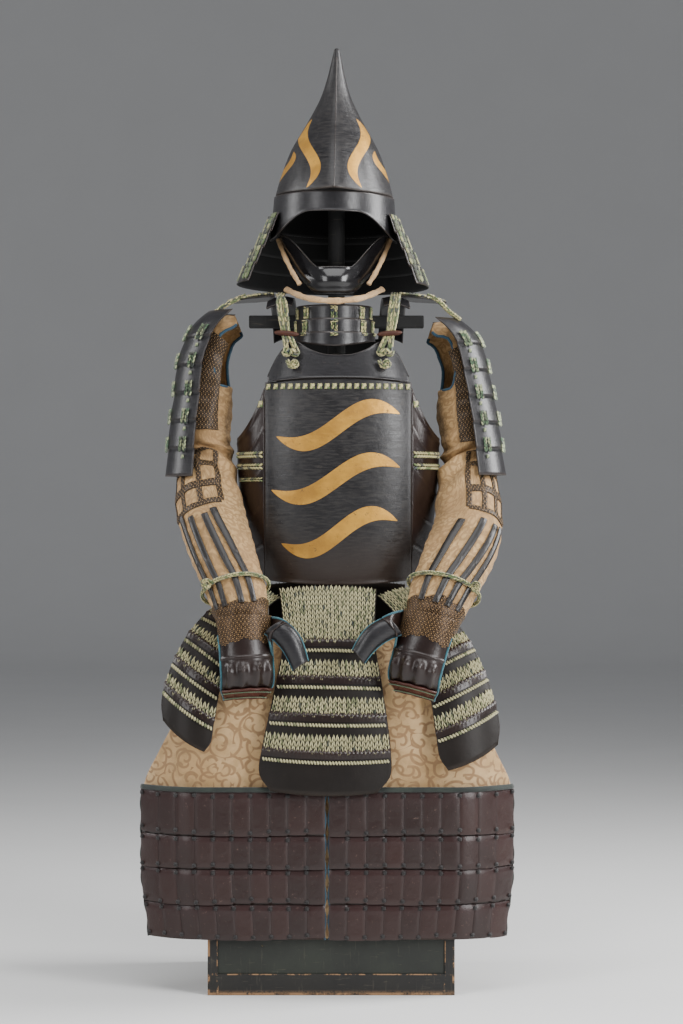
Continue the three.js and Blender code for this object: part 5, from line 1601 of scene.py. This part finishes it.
def plate_lacquer():
    """Dark red-brown lacquer whose shade goes with each plate; the second share of its map is the plate's."""
    p = Paint("apron_plate_lacquer")
    at = p.place()
    share, own = p.cut()
    cloud, fine = p.noise(at, 30, 4), p.noise(at, 300, 4, 0.7)
    scratch = p.noise(at, 160, 7, 0.8).above(0.64, 0.04)
    colour = p.mix(own, (0.0175, 0.0084, 0.0073), (0.028, 0.0114, 0.0094))
    colour = p.mix(share.above(0.72, 0.25) * 0.5, colour, (0.03, 0.012, 0.012))
    colour = p.mix(scratch * 0.6, colour, (0.16, 0.10, 0.08))
    rough = 0.36 + (cloud - 0.5) * 0.25 + scratch * 0.2
    return p.finish(Base_Color=colour, Roughness=rough, Specular_IOR_Level=0.42,
                    Normal=p.bump(cloud * 1.6 + fine * 0.2, 0.0012))


PLATE_LACQUER = plate_lacquer()
DARK_SILK = silk("dark_ties", (0.012, 0.009, 0.008), (0.02, 0.016, 0.014), (0.012, 0.009, 0.009), 0.6)
PLATES_ACROSS, PLATE_FINE, PLATE_GAP, KNOT_HALF, KNOT_TALL = 10, 12, 0.0002, 2.2, 4.4
KNOT_ARMS = ((3.3, 0, 3.0), (3.3, 0, -3.0), (4.2, 0, 0.4), (0.3, 0, 3.8))


def cupped_plate(face, k, top, bottom, drop, tilt):
    """The points of one plate, between two heights of a panel; the height share of each comes with it."""
    su, sv = np.meshgrid(np.linspace(0, 1, PLATE_FINE), np.linspace(0, 1, PLATE_FINE))
    pu = 2 * su - 1
    v = blend(1 - bottom + 0.004, 1 - top - 0.003, sv)
    inside = np.clip(v, 1 - bottom + 0.001, 1 - top - 0.001)
    u = blend(k / PLATES_ACROSS + PLATE_GAP, (k + 1) / PLATES_ACROSS - PLATE_GAP, su)
    points = face(u, inside)
    points[..., 2] += (v - inside) * (PANEL_TOP - PANEL_BOTTOM) - drop * (1 - sv)
    corner = np.clip(np.abs(pu) ** 3 * np.abs(2 * sv - 1) ** 4, 0, 1)
    cup = 1.3 * (1 - pu**2) * (0.55 + 0.45 * np.sin(math.pi * np.clip(sv * 1.1, 0, 1)))
    dish = -0.5 * np.exp(-((pu / 0.5) ** 2)) * np.exp(-(((sv - 0.45) / 0.3) ** 2))
    rim = 1.5 * np.exp(-((sv / 0.06) ** 2))
    edge = np.where((sv < 0.001) | (sv > 0.999), 2.4, np.where(np.abs(pu) > 0.999, 0.7, 0))
    points[..., 1] -= cup + dish + rim + tilt * pu + PANEL_STEP * 0.3 - edge
    points[..., 2] -= (2 * sv - 1) * corner * 0.7
    return points, sv


ends = [0, *PANEL_BREAKS, 1]
for side, s in SIDES:
    verts, faces, cut, count = [], [], [], 0
    ties = Stitches()
    for row, (top, bottom) in enumerate(zip(ends, ends[1:])):
        for k in range(PLATES_ACROSS):
            drop = 2.1 * math.sin(0.7 * k + 2 * row + s) + rng.normal(0, 0.25)
            tilt, own = rng.normal(0, 0.22), rng.random()
            points, height = cupped_plate(panel(s), k, top, bottom, drop, tilt)
            verts.append(points.reshape(-1, 3))
            cut.append(np.stack([height.ravel(), np.full(height.size, own)], -1))
            index = np.arange(PLATE_FINE * PLATE_FINE).reshape(PLATE_FINE, PLATE_FINE) + count
            quads = [index[:-1, :-1], index[:-1, 1:], index[1:, 1:], index[1:, :-1]]
            quads = np.stack(quads, -1).reshape(-1, 4)
            faces += (quads if s > 0 else quads[:, ::-1]).tolist()
            count += index.size
            for i in (1, PLATE_FINE - 2):
                beside = -1 if k < PLATES_ACROSS - 1 else -2
                here = points[i, beside] + np.array([0, -0.2, rng.normal(0, 0.8)])
                for arm in np.array(KNOT_ARMS):
                    ties.add(here - arm, here + arm, (0, -1, 0), KNOT_HALF, KNOT_TALL, DARK)
    dress(f"apron_plates_{side}", np.vstack(verts), faces, PLATE_LACQUER, [f"apron_plates_{side}"],
          np.vstack(cut))
    shell(f"panel_backing_{side}", lambda u, v, s=s: panel(s)(u, v) + np.array([0, 3.2, 0]), edged(40),
          stepped(sorted(1 - b for b in PANEL_BREAKS), 4), 1.6, BROWN, s, nodes=[])
    ties.sew(f"panel_ties_{side}", DARK_SILK)
    top_edge = panel(s, 1.0)(np.linspace(0, 0.995, 80), np.full(80, 0.999)) + np.array([0, 0, 2.5])
    tube(f"panel_binding_{side}", top_edge, 4.2, DARK_CLOTH, 12, flat=0.6)
    v = np.linspace(0.0, 1, 60)
    wave = np.stack([0.5 * np.sin(37 * v) * s, 0 * v, 0 * v], 1)
    tube(f"panel_split_edge_{side}", panel(s, -3.4)(np.full(60, 0.001), v) + wave * 2, 1.5, BLUE, 8)
    tube(f"panel_outer_edge_{side}", panel(s, -3.0)(np.full(60, 0.997), v) + wave * 2, 1.6, DARK_CLOTH, 8)

# %% [markdown]
# ## Storage chest and stand
# The chest is a box of lacquered boards: green panels, scratched by use, in a black frame whose edges
# are worn down to the wood. Its nodes keep their own shape; only their edges are eased with a small
# bevel. The stand inside is plain black wood, and shows only between the plates.

# %% Chest and stand
def eased(node, width, material):
    """A copy of a node with its flat faces joined and its edges rounded."""
    bm = bmesh.new()
    bm.from_mesh(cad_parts[node].data)
    bmesh.ops.remove_doubles(bm, verts=bm.verts, dist=1e-5)
    bmesh.ops.dissolve_limit(bm, angle_limit=0.01, verts=bm.verts, edges=bm.edges)
    sharp = [e for e in bm.edges if len(e.link_faces) == 2 and e.calc_face_angle() > 0.4]
    bmesh.ops.bevel(bm, geom=sharp, offset=width * MM, segments=2, profile=0.6, affect="EDGES",
                    clamp_overlap=True)
    mesh = bpy.data.meshes.new(node + "_finish")
    bm.to_mesh(mesh)
    bm.free()
    mesh.materials.append(material)
    mesh.polygons.foreach_set("use_smooth", [False] * len(mesh.polygons))
    obj = bpy.data.objects.new(node + "_finish", mesh)
    bpy.context.scene.collection.objects.link(obj)
    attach(obj, "root")
    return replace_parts(obj, node)


FRAME_HALF, FRAME_DEEP, FRAME_POST, PLINTH_TOP = 0.1965, 0.165, 0.016, 0.034


def near(coordinate, place, half, soft):
    """1 where the size of a coordinate is close to a place."""
    return abs(abs(coordinate) - place).below(half, soft)


def chest_paint(name, base, deep, wood, foot_wear, rough=0.5, scratches=0.5, edges=True):
    """Old lacquer on boards; foot_wear is how strongly it is rubbed off at the floor, and edges says
    whether it is worn down to the wood along the frame."""
    p = Paint(name)
    at = p.place()
    x, y, z = p.parts(at)
    cloud, fine = p.noise(at, 9, 5, 0.65), p.noise(at, 260, 4, 0.7)
    long_marks = p.noise(p.join(x * 30, y * 30, z * 340), 1.0, 3, 0.6).above(0.66, 0.02)
    steep_marks = p.noise(p.join(x * 300, y * 300, z * 24), 1.0, 3, 0.6).above(0.66, 0.02)
    chips = p.noise(at, 60, 7, 0.8).above(0.69, 0.015)
    colour = p.mix(cloud.above(0.5, 0.15), base, deep)
    colour = p.mix((long_marks + steep_marks * 0.7) * scratches * 0.5, colour, (0.12, 0.10, 0.07))
    colour = p.mix(chips * 0.7, colour, wood)
    if edges:
        outer_x, outer_y = near(x, FRAME_HALF, 0.0035, 0.0012), near(y, FRAME_DEEP, 0.0035, 0.0012)
        post_x = near(x, FRAME_HALF - FRAME_POST, 0.0014, 0.0006)
        post_y = near(y, FRAME_DEEP - FRAME_POST, 0.0014, 0.0006)
        sharp = outer_x * outer_y
        for line in (post_x * outer_y, post_y * outer_x, abs(z - PLINTH_TOP).below(0.0016, 0.0006),
                     z.below(0.004, 0.001)):
            sharp = sharp.math("MAXIMUM", line)
        colour = p.mix(sharp * p.noise(at, 38, 6, 0.75).above(0.5, 0.03), colour, wood)
    foot = z.below(0.006, 0.004) * fine.above(0.45, 0.1)
    colour = p.mix(foot * foot_wear, colour, tuple(0.8 * c for c in wood))
    return p.finish(Base_Color=colour, Roughness=rough + cloud * 0.2 + chips * 0.2,
                    Normal=p.bump(cloud * 1.5 + fine * 0.2 - chips * 0.8, 0.0008))


CHEST_GREEN = chest_paint("chest_green_lacquer", (0.015, 0.0185, 0.0125), (0.009, 0.011, 0.008),
                          (0.14, 0.11, 0.06), 0.0, scratches=0.4, edges=False)
CHEST_BLACK = chest_paint("chest_black_lacquer", (0.009, 0.008, 0.006), (0.005, 0.0045, 0.004),
                          (0.27, 0.15, 0.07), 0.6)
STAND_WOOD = chest_paint("stand_wood", (0.01, 0.01, 0.01), (0.006, 0.006, 0.006), (0.03, 0.022, 0.016),
                         0.0, 0.7)
eased("chest_body", 1.0, CHEST_GREEN)
eased("chest_frame", 1.2, CHEST_BLACK)
eased("chest_lid", 1.6, CHEST_BLACK)
for node in ("stand_post", "stand_shoulder_bar", "stand_head"):
    eased(node, 2.0, STAND_WOOD)
BACKDROP = Paint("studio_paper")
paper = BACKDROP.noise(BACKDROP.place(), 3, 3)
floor.data.materials.append(BACKDROP.finish(
    Base_Color=BACKDROP.mix(paper, (0.70, 0.70, 0.69), (0.74, 0.74, 0.73)), Roughness=0.9))
